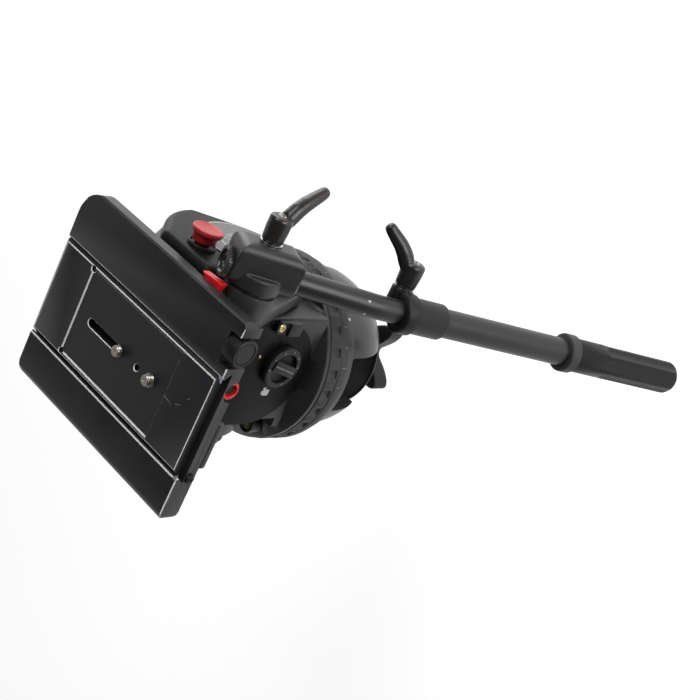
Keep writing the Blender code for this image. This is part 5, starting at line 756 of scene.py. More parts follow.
# %% Pan drag ring
def pan_drag_ring():
    profile = [
        (83.8, 48), (84.6, 47.6), (85, 47), (85, 34.9), (84.6, 34.4), (84.8, 33.6), (85.6, 32.8),
        (85.6, 26.2), (85, 25.4), (84.4, 25.2), (68, 25.2), (68, 48),
    ]
    obj = lathe("pan_drag_ring", profile, steps=168, closed=True)
    pocket = xy_prism("pocket", arc((89.2, 0), 6.4, 0, 350, 36), 35.6, 46.6)
    pocket = ring_of(bevel(pocket, 1.2, 3), 28, RUBBER)
    obj = cut(obj, pocket)
    bevel(obj, 0.4, 2, 40.0)
    obj = converted(obj, "pan_drag_ring")
    rib = small_box("rib", (83.6, -0.34, 36.2), (85.35, 0.34, 46.4))
    rib = bevel(rib, 0.2, 1)
    ribs = []
    for k in range(4):
        one = add(f"rib_{k}", rib.data.copy())
        bevel(one, 0.18, 1)
        ribs.append(ring_of(one, 28, RUBBER, 360.0 / 56 + (k - 1.5) * 1.12))
    bpy.data.objects.remove(rib, do_unlink=True)
    finish(obj, "pan_drag_ring", RUBBER)
    for one in ribs:
        finish(one, "pan_drag_ring", RUBBER)
    tick = small_box("ring_tick", (85, -0.4, 27.5), (85.72, 0.4, 31.2))
    finish(ring_of(tick, 7, DIM_MARK, 95.0, 12.0), "pan_drag_ring", DIM_MARK)


pan_drag_ring()
print("with the ring:", len(FINISHED))

# %% [markdown]
# ## Panning body
# A drum with a conical shoulder carries a block with a round crown. The rear panel seats in it.


# %% Body
TILT_Z = 108
DIAL_X, DIAL_Z, LEVEL_X, LEVEL_Y, BRAKE_X, BRAKE_Z = -21, 97, 57, 43, -58.5, 118
SHAFT_BORE, SCREW_BORE, BOLT_BORE = 3.9, 2.7, 5.3


def panel_outline(margin, count=60):
    radius = 49.5 + margin
    loop = [(-11 - radius, 149)] + arc((-11, TILT_Z), radius, -180.0, 0, count)
    return loop + [(-11 + radius, 128.5), (28, 149)]


def pan_housing():
    profile = [
        (0, 66), (62, 66), (64.5, 64.8), (71, 60), (83.5, 53.4), (84.5, 52.4), (84.5, 49), (84.1, 48.6),
        (58, 48.6), (58, 53.5), (0, 53.5),
    ]
    obj = lathe("pan_housing", profile, steps=168)
    loop = [(-58, 54.5), (66, 54.5)]
    loop += arc((0, TILT_Z), 80, math.degrees(math.acos(66 / 80)), math.degrees(math.acos(-58 / 80)), 48)
    block = yz_prism("block", loop, -63.5, 45.5)
    bevel(block, 3, 4, 50.0)
    obj = cut(obj, box("flat", (-90, -90, 52.6), (-64.75, 90, 72)))
    obj = cut(obj, rod(52.5, (45.5, 0, TILT_Z), (90, 0, TILT_Z), 120))
    obj = join(obj, block)
    cutters = [
        xy_prism("corner", [(47.5, 45), (47.5, 70), (33.5, 70)], 66.2, 200),
        xz_prism("panel_seat", panel_outline(0.3), 66, 90), rod(40, (-68, 0, TILT_Z), (50, 0, TILT_Z), 96),
        rod(8.3, (LEVEL_X, LEVEL_Y, 57), (LEVEL_X, LEVEL_Y, 80), 64),
        rod(SHAFT_BORE, (DIAL_X, 20, DIAL_Z), (DIAL_X, 80, DIAL_Z), 32),
    ]
    obj = cut(obj, *cutters)
    bevel(obj, 0.5, 2, 40.0)
    finish(obj, "pan_body", PAINT)


def rear_panel():
    face = 68.7
    obj = xz_prism("rear_panel", panel_outline(0), 66.3, face)
    obj = cut(
        obj, rod(SHAFT_BORE, (DIAL_X, 60, DIAL_Z), (DIAL_X, 80, DIAL_Z), 32),
        rod(SCREW_BORE, (BRAKE_X, 60, BRAKE_Z), (BRAKE_X, 80, BRAKE_Z), 24),
    )
    # The panel face takes the darker coat: painted shade from the platform above.
    finish(bevel(obj, 0.6, 3, 40.0, 1), "pan_body", [PANEL_WITH_PAINTED_SHADE, WORN_SOFT])
    dot = lathe(
        "dial_index_dot", [(0, 0.8), (1, 0.8), (1.4, 0.3), (1.4, -4)], (-28.5, face, 123.2), Y_AXIS,
        steps=24,
    )
    finish(dot, "pan_body", BRASS)
    icon = []
    for low, high in (((4, 93), (9.8, 100)), ((1.8, 97.5), (4, 101)), ((5, 100), (8.5, 101.8))):
        icon.append(box("icon", (low[0], face - 0.3, low[1]), (high[0], face + 0.12, high[1])))
    finish(join(icon[0], *icon[1:]), "pan_body", PALE_MARK)


def dial():
    back = 69
    profile = [(0, 7), (17.8, 7), (18.4, 6.7), (19, 5.8), (19, 0.4), (18.6, 0), (0, 0)]
    obj = lathe("counterbalance_dial", profile, (DIAL_X, back, DIAL_Z), Y_AXIS, X_AXIS, 96)
    turn = math.radians(107.0)
    along = Vector((math.cos(turn), 0, math.sin(turn)))
    start = math.degrees(math.asin(4.25 / 14))
    cutters = []
    for sign in (1.0, -1.0):
        loop = arc((0, 0), 14, start, 180.0 - start, 40)
        pocket = prism(
            "pocket", loop, 8.5, (DIAL_X, back + 7 - 4.5 + 4.25, DIAL_Z), (0, -1, 0), along * sign
        )
        cutters.append(bevel(pocket, 0.6, 2))
    obj = cut(obj, *cutters)
    ridge = small_box("ridge", (-13.7, -5, 0), (13.7, 5, 6.1), (DIAL_X, back + 2.5, DIAL_Z), Y_AXIS, along)
    obj = join(obj, bevel(ridge, 0.8, 3))
    bevel(obj, 0.3, 2, 40.0)
    finish(obj, "counterbalance_dial", PLASTIC)
    line = small_box(
        "dial_line", (-12.5, -0.6, 0), (12.5, 0.6, 0.2), (DIAL_X, back + 8.6, DIAL_Z), Y_AXIS, along
    )
    finish(line, "counterbalance_dial", DIM_MARK)
    tick = small_box(
        "dial_tick", (15, -0.5, 6.9), (17.4, 0.5, 7.12), (DIAL_X, back, DIAL_Z), Y_AXIS, X_AXIS
    )
    finish(ring_of(tick, 8, DIM_MARK, 22.0, 36.0), "counterbalance_dial", DIM_MARK)


def level():
    top = 70
    cup = [
        (0, top - 3.6), (5.7, top - 3.6), (5.7, top - 0.3), (6.1, top), (7.6, top), (8, top - 0.4),
        (8, 57.3), (0, 57.3),
    ]
    finish(lathe("level_housing", cup, (LEVEL_X, LEVEL_Y, 0), steps=64), "pan_body", PLASTIC)
    vial = [
        (0, top - 0.6), (3, top - 0.7), (5, top - 1), (5.4, top - 1.6), (5.4, top - 3.3), (0, top - 3.3)
    ]
    finish(lathe("level_vial", vial, (LEVEL_X, LEVEL_Y, 0), steps=48), "pan_body", VIAL)
    ring = [(2.7, top - 0.6), (3.1, top - 0.6), (3.1, top - 0.9), (2.7, top - 0.9)]
    finish(
        lathe("level_circle", ring, (LEVEL_X, LEVEL_Y, 0), steps=40, closed=True), "pan_body", DARK_PRINT_AND_SHADE,
    )


def brake():
    back, x, z, half = 69, BRAKE_X, BRAKE_Z, 5.75
    foot, crown, hub_face = z - 20.5, z + 6, back + 5
    loop = [
        (x + half - 3, crown), (x - half + 3, crown), (x - half, crown - 3), (x - half, foot + 1),
        (x - half + 1, foot), (x + half, foot), (x + half, crown - 3),
    ]
    obj = xz_prism("pan_brake_lever", loop, back, back + 8)
    obj = cut(
        obj, box("step", (x - 10, hub_face, z - 6), (x + 10, back + 12, crown + 4)),
        rod(4.1, (x, hub_face - 1.9, z), (x, back + 12, z), 32),
        rod(SCREW_BORE, (x, back - 2, z), (x, back + 12, z), 24),
    )
    finish(bevel(obj, 0.9, 2, 40.0), "pan_brake", PLASTIC)
    screw = [(0, 1), (1.2, 1), (1.4, 1.6), (3.4, 1.6), (3.8, 1.2), (3.8, 0), (2.4, 0), (2.4, -18), (0, -18)]
    finish(lathe("brake_screw", screw, (x, hub_face - 1.6, z), Y_AXIS, steps=32), "pan_brake", BRASS)


pan_housing()
rear_panel()
dial()
level()
brake()
print("with the panning body:", len(FINISHED))

# %% [markdown]
# ## Tilting yoke
# Two cheeks turn about the tilt axis. A domed cover with a scale sits on the left one.


# %% Yoke
HUB = (66, 166)
BUTTON = (2, 167)
AXLE_BORE, HUB_CLEARANCE = 10.3, 21.3


def cheeks():
    disc = arc((0, TILT_Z), 55, 0, 360, 96)
    hub = arc(HUB, 21, 0, 360, 64)
    top = [(-30, 190.7), (40, 190.7)] + arc((0, TILT_Z), 73.5, 126, 165, 40)
    left = yz_prism("cheek_left", hull(disc + hub + top), -78, -66)
    bevel(left, 1.2, 3, 40.0)
    boss = rod(21, (-70, *HUB), (-90.5, *HUB), 96)
    bevel(boss, 0.8, 2, 40.0)
    left = join(left, boss)
    left = cut(
        left, rod(AXLE_BORE, (-80, 0, TILT_Z), (-60, 0, TILT_Z)),
        rod(BOLT_BORE, (-95, *HUB), (-60, *HUB), 32),
    )
    finish(left, "tilt_yoke", CAST)
    disc = arc((0, TILT_Z), 50, 0, 360, 96)
    right_side = yz_prism("cheek_right", hull(disc + [(-30, 190.7), (30, 190.7)]), 48, 66)
    bevel(right_side, 2.5, 4, 40.0)
    right_side = cut(right_side, rod(AXLE_BORE, (40, 0, TILT_Z), (70, 0, TILT_Z)))
    finish(right_side, "tilt_yoke", CAST)
    ring = lathe(
        "rosette_ring", [(18.3, 1.6), (18.5, 1.4), (18.5, 0), (5.3, 0), (5.3, 1.6)], (-90.8, *HUB), LEFT,
        steps=96, closed=True,
    )
    tooth = small_box("tooth", (12, -0.4, 1), (18.2, 0.4, 1.7), (-90.8, *HUB), LEFT)
    finish(ring, "tilt_yoke", CAST)
    finish(ring_of(tooth, 48, STEEL), "tilt_yoke", STEEL)


def side_cover():
    outer_x, inner_x = -90, -78.3
    circles = [(0, TILT_Z, 53), (-22, 178, 8), (30, 178, 8)]
    for k in range(7):
        turn = math.radians(128.0 + 37.0 * k / 6)
        reach = 74.5 - 0.5 * k - 10
        circles.append((reach * math.cos(turn), TILT_Z + reach * math.sin(turn), 10))
    bends = [math.radians(9.0 * k) for k in range(11)]
    layers = [(inner_x + 1, 0)] + [(-83 - 7 * math.sin(a), 7 - 7 * math.cos(a)) for a in bends]
    obj = dome("side_cover_left", circles, layers, (-8, 128))
    cutters = [
        box("trim", (inner_x, -90, 0), (inner_x + 20, 90, 210)),
        rod(HUB_CLEARANCE, (-95, *HUB), (-70, *HUB), 96), rod(4.6, (-95, *BUTTON), (-70, *BUTTON), 40),
    ]
    obj = cut(obj, *cutters)
    finish(obj, "tilt_yoke", COVER)
    face = outer_x - 0.3
    loop = arc((0, TILT_Z), 44, 40, 262, 80) + arc((0, TILT_Z), 16, 262, 40, 40)
    label = yz_prism("scale_label", loop, face - 0.4, face)
    label = cut(
        label, rod(13.5, (-100, *BUTTON), (-80, *BUTTON), 64),
        rod(HUB_CLEARANCE, (-100, *HUB), (-80, *HUB), 64),
    )
    finish(label, "tilt_yoke", LABEL)
    top = face - 0.4
    for name, radius, start, stop in (("arc_outer", 44.6, 76, 261), ("arc_inner", 28.5, 82, 150)):
        loop = arc((0, TILT_Z), radius, start, stop, 60) + arc((0, TILT_Z), radius - 1.2, stop, start, 60)
        line = cut(
            yz_prism("scale_" + name, loop, top - 0.1, top + 0.1),
            rod(13.3, (-100, *BUTTON), (-80, *BUTTON), 64),
        )
        finish(line, "tilt_yoke", PALE_MARK)
    line = small_box(
        "scale_line", (19, -0.5, -0.1), (30, 0.5, 0.1), (top, 0, TILT_Z), X_AXIS,
        (0, math.cos(math.radians(132)), math.sin(math.radians(132))),
    )
    finish(line, "tilt_yoke", PALE_MARK)
    tick = small_box("scale_ticks", (20.5, -0.4, -0.1), (25, 0.4, 0.1), (top, 0, TILT_Z), X_AXIS, Y_AXIS)
    finish(ring_of(tick, 5, PALE_MARK, 150.0, 11.0), "tilt_yoke", PALE_MARK)


def button():
    place = (-90.3, *BUTTON)
    nut = [(11.2, 3), (11.8, 2.8), (12.2, 2.2), (12.2, 0), (6.3, 0), (6.3, 1.2), (10.8, 1.2), (10.8, 2.8)]
    nut = lathe("button_collar", nut, place, LEFT, steps=80, closed=True)
    finish(nut, "tilt_yoke", PLASTIC)
    start, neck, cap = 4.5, 11.6, 16
    profile = [
        (0, cap - 0.3), (11.4, cap - 0.3), (11.8, cap), (12.6, cap), (13.1, cap - 0.4), (13.2, cap - 1),
        (13.1, neck + 1), (12.7, neck + 0.3), (11.6, neck), (10.6, neck - 0.4), (10.2, neck - 1.2),
        (10.1, start + 0.6), (9.6, start), (4, start), (4, -4), (0, -4),
    ]
    finish(lathe("tilt_lock_button", profile, place, LEFT, steps=96), "tilt_lock_button", RED, angle=50)


def tilt_ring():
    x = 66.3
    profile = [(42.5, 13), (43.6, 12.2), (44, 11.2), (44, 0.6), (43.5, 0), (18, 0), (18, 13)]
    obj = lathe("tilt_drag_ring", profile, (x, 0, TILT_Z), X_AXIS, Y_AXIS, 128, closed=True)
    notch = rod(4, (46, 0, -4), (46, 0, 18), 24)
    notch.data.transform(notch.matrix_world)
    notch.matrix_world = Matrix.Identity(4)
    aim(notch, (x, 0, TILT_Z), X_AXIS, Y_AXIS)
    obj = cut(obj, ring_of(notch, 14, RUBBER))
    finish(bevel(obj, 0.5, 2, 40), "tilt_drag_ring", RUBBER)
    hub = [(0, 12.5), (12, 12.5), (12.5, 13), (16.2, 13), (17.7, 11.8), (17.7, 0), (0, 0)]
    finish(lathe("tilt_ring_hub", hub, (x, 0, TILT_Z), X_AXIS, steps=64), "tilt_yoke", PAINT)


cheeks()
side_cover()
button()
tilt_ring()
print("with the yoke:", len(FINISHED))

# %% [markdown]
# ## Camera platform
# One cross section makes the wings and the dovetail channel. The plan outline trims its corners.

# %% Platform
TOP, BOTTOM, REAR, FRONT = 210, 191, 116, -99
PLATE_X, PLATE_HALF, SLOPE = 7, 41.5, 7.3
FRONT_SCREW_Y, REAR_SCREW_Y, SLOT_FRONT_Y, HEAD_RADIUS = 6, 48, -36, 8.5
LOCK_KNOB, CATCH, STOP_SCREW = (-62, TOP - 9.5), (-26, BOTTOM + 0.5), (53, 196.35)
PIN_BORE = 2.8


def platform():
    floor = TOP - 8.9
    nose, mouth, under = PLATE_HALF + 3.5, PLATE_HALF + 5, PLATE_HALF + SLOPE + 0.6
    loop = [
        (-83, BOTTOM), (-83, BOTTOM + 4.5), (-87, BOTTOM + 7), (-87, TOP - 1.5), (-85.5, TOP),
        (PLATE_X - mouth, TOP), (PLATE_X - nose, TOP - 2), (PLATE_X - under, TOP - SLOPE),
        (PLATE_X - under, floor), (PLATE_X + under, floor), (PLATE_X + under, TOP - SLOPE),
        (PLATE_X + nose, TOP - 2), (PLATE_X + mouth, TOP),
    ]
    loop += arc((84.6, TOP - 8), 8, 90, 0, 16) + arc((84.6, BOTTOM + 8), 8, 0, -90, 16)
    obj = xz_prism("platform", list(reversed(loop)), FRONT - 4, REAR + 4)
    plan = arc((-62, FRONT + 25), 25, 180, 270, 24) + arc((80.6, FRONT + 12), 12, 270, 360, 16)
    plan += arc((87.6, REAR - 5), 5, 0, 90, 10) + arc((-82, REAR - 5), 5, 90, 180, 10)
    obj = combine(obj, "INTERSECT", xy_prism("plan", plan, BOTTOM - 4, TOP + 4))
    knob_x = LOCK_KNOB[0]
    catch_x, catch_z = CATCH
    screw_x, screw_z = STOP_SCREW
    cutters = [
        box("knob_notch", (knob_x - 12.8, 103.8, BOTTOM - 4), (knob_x + 14.4, REAR + 4, TOP + 4)),
        rod(9, (catch_x, 106.2, catch_z), (catch_x, REAR + 4, catch_z), 48),
        box("release_pocket", (-91, 36, BOTTOM - 4), (-75.5, 72, BOTTOM + 8)),
        rod(PIN_BORE, (screw_x, 106.7, screw_z), (screw_x, 120, screw_z), 24),
    ]
    obj = cut(obj, *cutters)
    obj = worn_edges(obj, 0.78, worn_on_top)
    bevel(obj, 0.9, 3, 48.0)
    finish(obj, "tilt_yoke", [ANODISED, WORN, BARE], angle=30)
    for side in (1.0, -1.0):
        inner, outer = PLATE_X - side * (PLATE_HALF + 0.5), PLATE_X - side * (PLATE_HALF + 6.2)
        chip = [
            (inner, REAR - 0.2), (outer, REAR - 0.2), (outer, REAR - 1.2),
            (PLATE_X - side * (PLATE_HALF + 5), REAR - 4.8),
        ]
        finish(xy_prism("worn_corner", chip, TOP - 0.6, TOP + 0.1), "tilt_yoke", BARE)


def worn_on_top(p):
    """The rims of the channel, the front edges of the wings and the rear edges beside the channel."""
    if p.z < TOP - 4:
        return False
    mouth = abs(abs(p.x - PLATE_X) - PLATE_HALF - 5) < 1
    front = p.y < FRONT + 4 and abs(p.x - PLATE_X) > PLATE_HALF + 5
    rear = p.y > REAR - 2 and (-78.5 < p.x < -36 or p.x > 50)
    return mouth or front or rear


def camera_plate():
    bottom = TOP - 8.3
    wide = PLATE_HALF + SLOPE
    loop = [
        (PLATE_X - PLATE_HALF, TOP), (PLATE_X - wide, TOP - SLOPE), (PLATE_X - wide, bottom),
        (PLATE_X + wide, bottom), (PLATE_X + wide, TOP - SLOPE), (PLATE_X + PLATE_HALF, TOP),
    ]
    obj = xz_prism("camera_plate", loop, FRONT + 0.3, REAR - 6)
    edge = yz_prism(
        "edge", [(FRONT - 2, TOP - 2.2), (FRONT + 4.5, TOP + 0.3), (FRONT - 2, TOP + 3)], -60, 70
    )
    half = PLATE_HALF - 2.4
    pocket = box("pocket", (PLATE_X - half, -56, TOP - 1), (PLATE_X + half, 69, TOP + 10))
    ends = (PLATE_X, FRONT_SCREW_Y), (PLATE_X, SLOT_FRONT_Y)
    slot = arc(ends[0], 3.6, 0, 180, 20) + arc(ends[1], 3.6, 180, 360, 20)
    head = arc(ends[0], HEAD_RADIUS, 0, 180, 20) + arc(ends[1], HEAD_RADIUS, 180, 360, 20)
    cutters = [
        edge, pocket, xy_prism("slot", slot, bottom - 4, TOP + 4),
        xy_prism("slot_head", head, bottom - 4, bottom + 4),
        rod(5.26, (PLATE_X, REAR_SCREW_Y, bottom - 4), (PLATE_X, REAR_SCREW_Y, TOP + 4), 40),
        rod(HEAD_RADIUS, (PLATE_X, REAR_SCREW_Y, bottom - 4), (PLATE_X, REAR_SCREW_Y, bottom + 4), 40),
        rod(PIN_BORE, (PLATE_X, 30, bottom - 4), (PLATE_X, 30, TOP + 4), 32),
    ]
    for x in (PLATE_X - half, PLATE_X + half):
        cutters.append(rod(2.6, (x, -56, TOP - 2), (x, -56, TOP + 10), 32))
    obj = cut(obj, *cutters)
    obj = worn_edges(obj, 0.6, lambda p: p.z > TOP - 1.6 and p.y > FRONT + 6)
    paint_faces(obj, 2, lambda n, p: n.y < -0.3 and n.z > 0.3 and p.y < FRONT + 6)
    finish(obj, "camera_plate", [ANODISED, WORN, BARE], angle=30)
    for start, stop in (((6.3, 69.5), (8.3, 80.2)), ((5.1, 83.5), (2, 89.5)), ((-4.9, 92.9), (-8.6, 95.7))):
        start, stop = Vector(start), Vector(stop)
        across = (stop - start).normalized().orthogonal() * 0.22
        corners = [start + across, start - across, stop - across * 0.4, stop + across * 0.4]
        loop = [(c.x, c.y) for c in corners]
        finish(xy_prism("scratch", loop, TOP - 0.3, TOP + 0.06), "camera_plate", BARE)


def camera_screw(name, y, neck):
    """The thread stands above the plate; the front screw has a neck that runs in the slot."""
    base, tip = TOP - 8, TOP + 4.2
    profile = [(0, tip - 0.5), (1.2, tip - 0.5), (1.5, tip), (4, tip), (4.55, tip - 0.5)]
    z = tip - 0.9
    while z > (TOP - 0.2 if neck else base + 4.6):
        profile += [(4.76, z), (4.76, z - 0.4), (4.3, z - 0.9)]
        z -= 1.3
    shank = 3.2 if neck else 4.6
    profile += [(shank, z), (shank, base + 3.4), (8, base + 3.4), (8, base), (0, base)]
    obj = lathe(name, profile, (PLATE_X, y, 0), steps=48)
    finish(obj, name, STEEL)


platform()
camera_plate()
camera_screw("camera_screw_front", FRONT_SCREW_Y, True)
camera_screw("camera_screw_rear", REAR_SCREW_Y, False)
print("with the platform:", len(FINISHED))


# %% Fittings of the platform
def lock_knob():
    x, z = LOCK_KNOB
    start, long, wide = 104.5, 14, 11.6
    profile = [
        (0, long - 0.3), (wide - 3, long - 0.3), (wide - 2.7, long - 0.8), (wide - 2.3, long - 0.8),
        (wide - 2, long), (wide - 0.6, long), (wide, long - 0.6), (wide, 0.6), (wide - 0.6, 0), (0, 0),
    ]
    obj = lathe("plate_lock_knob", profile, (x, start, z), Y_AXIS, X_AXIS, 128)
    rib = small_box(
        "knurl", (wide - 0.8, -0.55, 0.8), (wide + 0.6, 0.55, long - 0.9), (x, start, z), Y_AXIS, X_AXIS
    )
    ribs = ring_of(bevel(rib, 0.2, 2), 44, PLASTIC)
    finish(obj, "plate_lock_knob", PLASTIC)
    finish(ribs, "plate_lock_knob", PLASTIC)


def catch():
    x, z = CATCH
    profile = [
        (0, -3.2), (5, -3.2), (5.4, -0.4), (5.8, 0), (7.2, 0), (7.8, -0.6), (7.8, -4.6), (2.6, -4.6),
        (2.6, -12), (0, -12),
    ]
    finish(lathe("safety_catch", profile, (x, REAR - 2.5, z), Y_AXIS, steps=64), "safety_catch", RED_BRIGHT)
    # A near-black disc at the bottom of the catch's hollow: painted shade.
    painted_shade_disc = lathe(
        "catch_painted_shade", [(0, -2.6), (4.6, -2.7), (5, -3.3), (0, -3.3)], (x, REAR - 2.5, z), Y_AXIS, steps=48
    )
    finish(painted_shade_disc, "safety_catch", DARK_PRINT_AND_SHADE)


def release_lever():
    x, y, top = -83.8, 58, BOTTOM + 7.7
    points = arc((x, y), 5, 0, 360, 48) + [(-90.5, 43), (-92.2, 66.8)]
    obj = xy_prism("release_lever", hull(points), top - 7.6, top)
    obj = cut(obj, rod(PIN_BORE, (x, y, top - 10), (x, y, top + 10), 24))
    finish(bevel(obj, 1.2, 4, 40), "release_lever", RED_BRIGHT)


def small_fittings():
    screw = [
        (0, 1.4), (1.4, 1.4), (1.6, 2.2), (2.4, 2.2), (3.8, 1.4), (4.2, 0.4), (4.2, 0), (2.5, 0), (2.5, -9),
        (0, -9),
    ]
    x, z = STOP_SCREW
    finish(lathe("stop_screw", screw, (x, REAR + 0.3, z), Y_AXIS, steps=40), "tilt_yoke", PLASTIC)
    housing = box("plate_clamp_housing", (2, 88, 182.9), (46, 115.5, 190.7))
    finish(bevel(housing, 3, 5, 50), "tilt_yoke", CAST)


lock_knob()
catch()
release_lever()
small_fittings()
print("with the fittings:", len(FINISHED))

# %% [markdown]
# ## Pan bar
# The bracket clamps on the rosette. The inner tube leaves it with a slight bend and runs into the outer one.

# %% Bar geometry
BAR_X, NEAR_DEG, FAR_DEG, BEND_R = -106, 26.7, 18.9, 80


def in_plane(degrees):
    angle = math.radians(degrees)
    return Vector((0, math.sin(angle), -math.cos(angle))), Vector((0, math.cos(angle), math.sin(angle)))


NEAR, NEAR_UP = in_plane(NEAR_DEG)
FAR, FAR_UP = in_plane(FAR_DEG)
BARREL_START = Vector((BAR_X, 56, 190))
BAR_EXIT = BARREL_START + NEAR * 61
BEND_CENTRE = BAR_EXIT + NEAR * 66 - NEAR_UP * BEND_R
BEND = [BEND_CENTRE + in_plane(NEAR_DEG + (FAR_DEG - NEAR_DEG) * i / 16)[1] * BEND_R for i in range(17)]
COLLAR_START = BEND[-1] + FAR * 14
RING_END = COLLAR_START + FAR * 12
SLEEVE_END = RING_END + FAR * 31
OUTER_START = SLEEVE_END - FAR * 24
GRIP_RING_START = SLEEVE_END + FAR * 134.5
GRIP_START = GRIP_RING_START + FAR * 11
COLLAR_POINT = COLLAR_START + FAR * 6 - FAR_UP * 16


# %% Bracket and tubes
def bracket():
    inner, outer = -92.8, -130
    obj = rod(21.5, (inner, *HUB), (BAR_X, *HUB), 96)
    bevel(obj, 1.5, 3, 40)
    height, flat, long, round_by = BAR_X - outer, 8.5, 55.5, 8
    section = arc((0, 0), 13.5, 90, 270, 48) + arc((height - round_by, -flat), round_by, 270, 360, 16)
    section += arc((height - round_by, flat), round_by, 0, 90, 16)
    body = prism("body", section, long, BARREL_START + NEAR * (long / 2), NEAR, LEFT)
    side = [(0, -20), (long, -20)] + arc((long - 12, height - 12), 12, 0, 90, 20)
    side += arc((9, height - 9), 9, 90, 180, 20)
    body = combine(body, "INTERSECT", prism("side", side, 45, BARREL_START, NEAR_UP, NEAR))
    obj = join(obj, body)
    obj = converted(cast_shape(obj, 0.6, 12), "bar_bracket")
    seat = BAR_EXIT - NEAR * 26.3
    cutters = [
        rod(10.4, seat, BAR_EXIT + NEAR * 4, 64),
        rod(8.3, BARREL_START - NEAR * 4, BARREL_START + NEAR * 6.3, 48),
        rod(BOLT_BORE, (outer - 4, *HUB), (inner + 4, *HUB), 32),
    ]
    obj = cut(obj, *cutters)
    finish(obj, "pan_bar", CAST, angle=50)
    lip = lathe(
        "bracket_lip", [(10.8, 0), (12.8, 0), (13.2, 0.4), (12.8, 0.9), (10.8, 0.9)],
        BARREL_START + NEAR * (long - 0.4), NEAR, steps=64, closed=True,
    )
    finish(lip, "pan_bar", STEEL)


def end_cap():
    base = BARREL_START - NEAR * 0.3
    profile = [
        (0, 1.8), (4, 1.8), (4.6, 2.6), (7.8, 2.6), (8.6, 3.2), (9.2, 4.6), (11, 4.6), (11.8, 3.8),
        (11.8, 0), (8, 0), (8, -6.2), (0, -6.2),
    ]
    finish(lathe("bar_end_cap", profile, base, -NEAR, X_AXIS, 96), "pan_bar", HANDLE)
    rib = small_box("cap_rib", (11, -0.5, 0.4), (12.4, 0.5, 4.2), base, -NEAR, X_AXIS)
    finish(ring_of(bevel(rib, 0.3, 2), 40, HANDLE), "pan_bar", HANDLE)


def tubes():
    route = [BAR_EXIT - NEAR * 26] + BEND + [OUTER_START + FAR * 215]
    obj = tube("inner_tube", route, [10.1] * len(route), 14)
    finish(obj, "pan_bar", ANODISED_TUBE)
    base = BAR_EXIT + NEAR * 58
    for index, degrees in enumerate((56.0, 124.0)):
        angle = math.radians(degrees)
        normal = Vector(LEFT) * math.cos(angle) + NEAR_UP * math.sin(angle)
        profile = [(0, 10.6), (0.8, 10.5), (1.3, 10.1), (1.3, 7.5), (0, 7.5)]
        pin = lathe(f"tube_pin_{index + 1}", profile, base, normal, steps=24)
        finish(pin, "pan_bar", STEEL)
    length = (GRIP_START - OUTER_START).length + 110
    profile = [(12.2, length), (12.2, 0), (10.5, 0), (10.5, length)]
    outer = lathe("outer_tube", profile, OUTER_START, FAR, steps=80, closed=True)
    finish(outer, "bar_extension", ANODISED_TUBE)


def collar():
    profile = [
        (10.5, 0), (16, 0), (17.2, 1.2), (17.2, 10.8), (16, 12), (15, 12.2), (15, 41), (14.2, 42.8),
        (13, 43), (12.5, 43), (12.5, 18.7), (10.5, 18.7),
    ]
    obj = lathe("bar_collar", profile, COLLAR_START, FAR, X_AXIS, 96, closed=True)
    point = COLLAR_POINT
    ear = rod(9.5, (BAR_X + 13.2, point.y, point.z), (-121.5, point.y, point.z), 64)
    obj = join(obj, bevel(ear, 1.2, 3))
    slit = box("slit", (-1.1, -15, -6.5), (1.1, 15, 6.5))
    middle = COLLAR_START + FAR * 4 - FAR_UP * 20.5
    aim(slit, middle, FAR, X_AXIS)
    obj = cut(
        obj, rod(10.5, COLLAR_START - FAR * 4, SLEEVE_END + FAR * 4, 80),
        rod(BOLT_BORE, (BAR_X + 30, point.y, point.z), (-130, point.y, point.z), 32), slit,
    )
    finish(bevel(obj, 0.4, 2, 40), "bar_extension", PLASTIC)


def grip():
    profile = [(15, 11), (16.2, 10.7), (17, 9.6), (17, 1.4), (16.2, 0.3), (15, 0), (12.5, 0), (12.5, 11)]
    ring = lathe("grip_ring", profile, GRIP_RING_START, FAR, steps=96, closed=True)
    finish(ring, "bar_extension", RUBBER)
    depth, last = 110.3, 124
    end = [
        (7 + 8 * math.sin(a), last - 8 + 8 * math.cos(a)) for a in [math.radians(9 * i) for i in range(11)]
    ]
    profile = [(0, last)] + end + [(15, 0.6), (14.4, 0), (12.5, 0), (12.5, depth), (0, depth)]
    obj = lathe("hand_grip", profile, GRIP_START + FAR * 0.3, FAR, X_AXIS, 140)
    flute = rod(12, (25.2, 0, 34), (25.2, 0, 136), 64)
    bevel(flute, 2.2, 3, 50)
    flute = converted(flute, "flute")
    flute.data.transform(flute.matrix_world)
    flute.matrix_world = obj.matrix_world.copy()
    flutes = ring_of(flute, 7, GRIP)
    obj = cut(obj, flutes)
    finish(bevel(obj, 0.4, 2, 25), "bar_extension", GRIP, angle=40)


bracket()
end_cap()
tubes()
collar()
grip()
print("with the bar:", len(FINISHED))


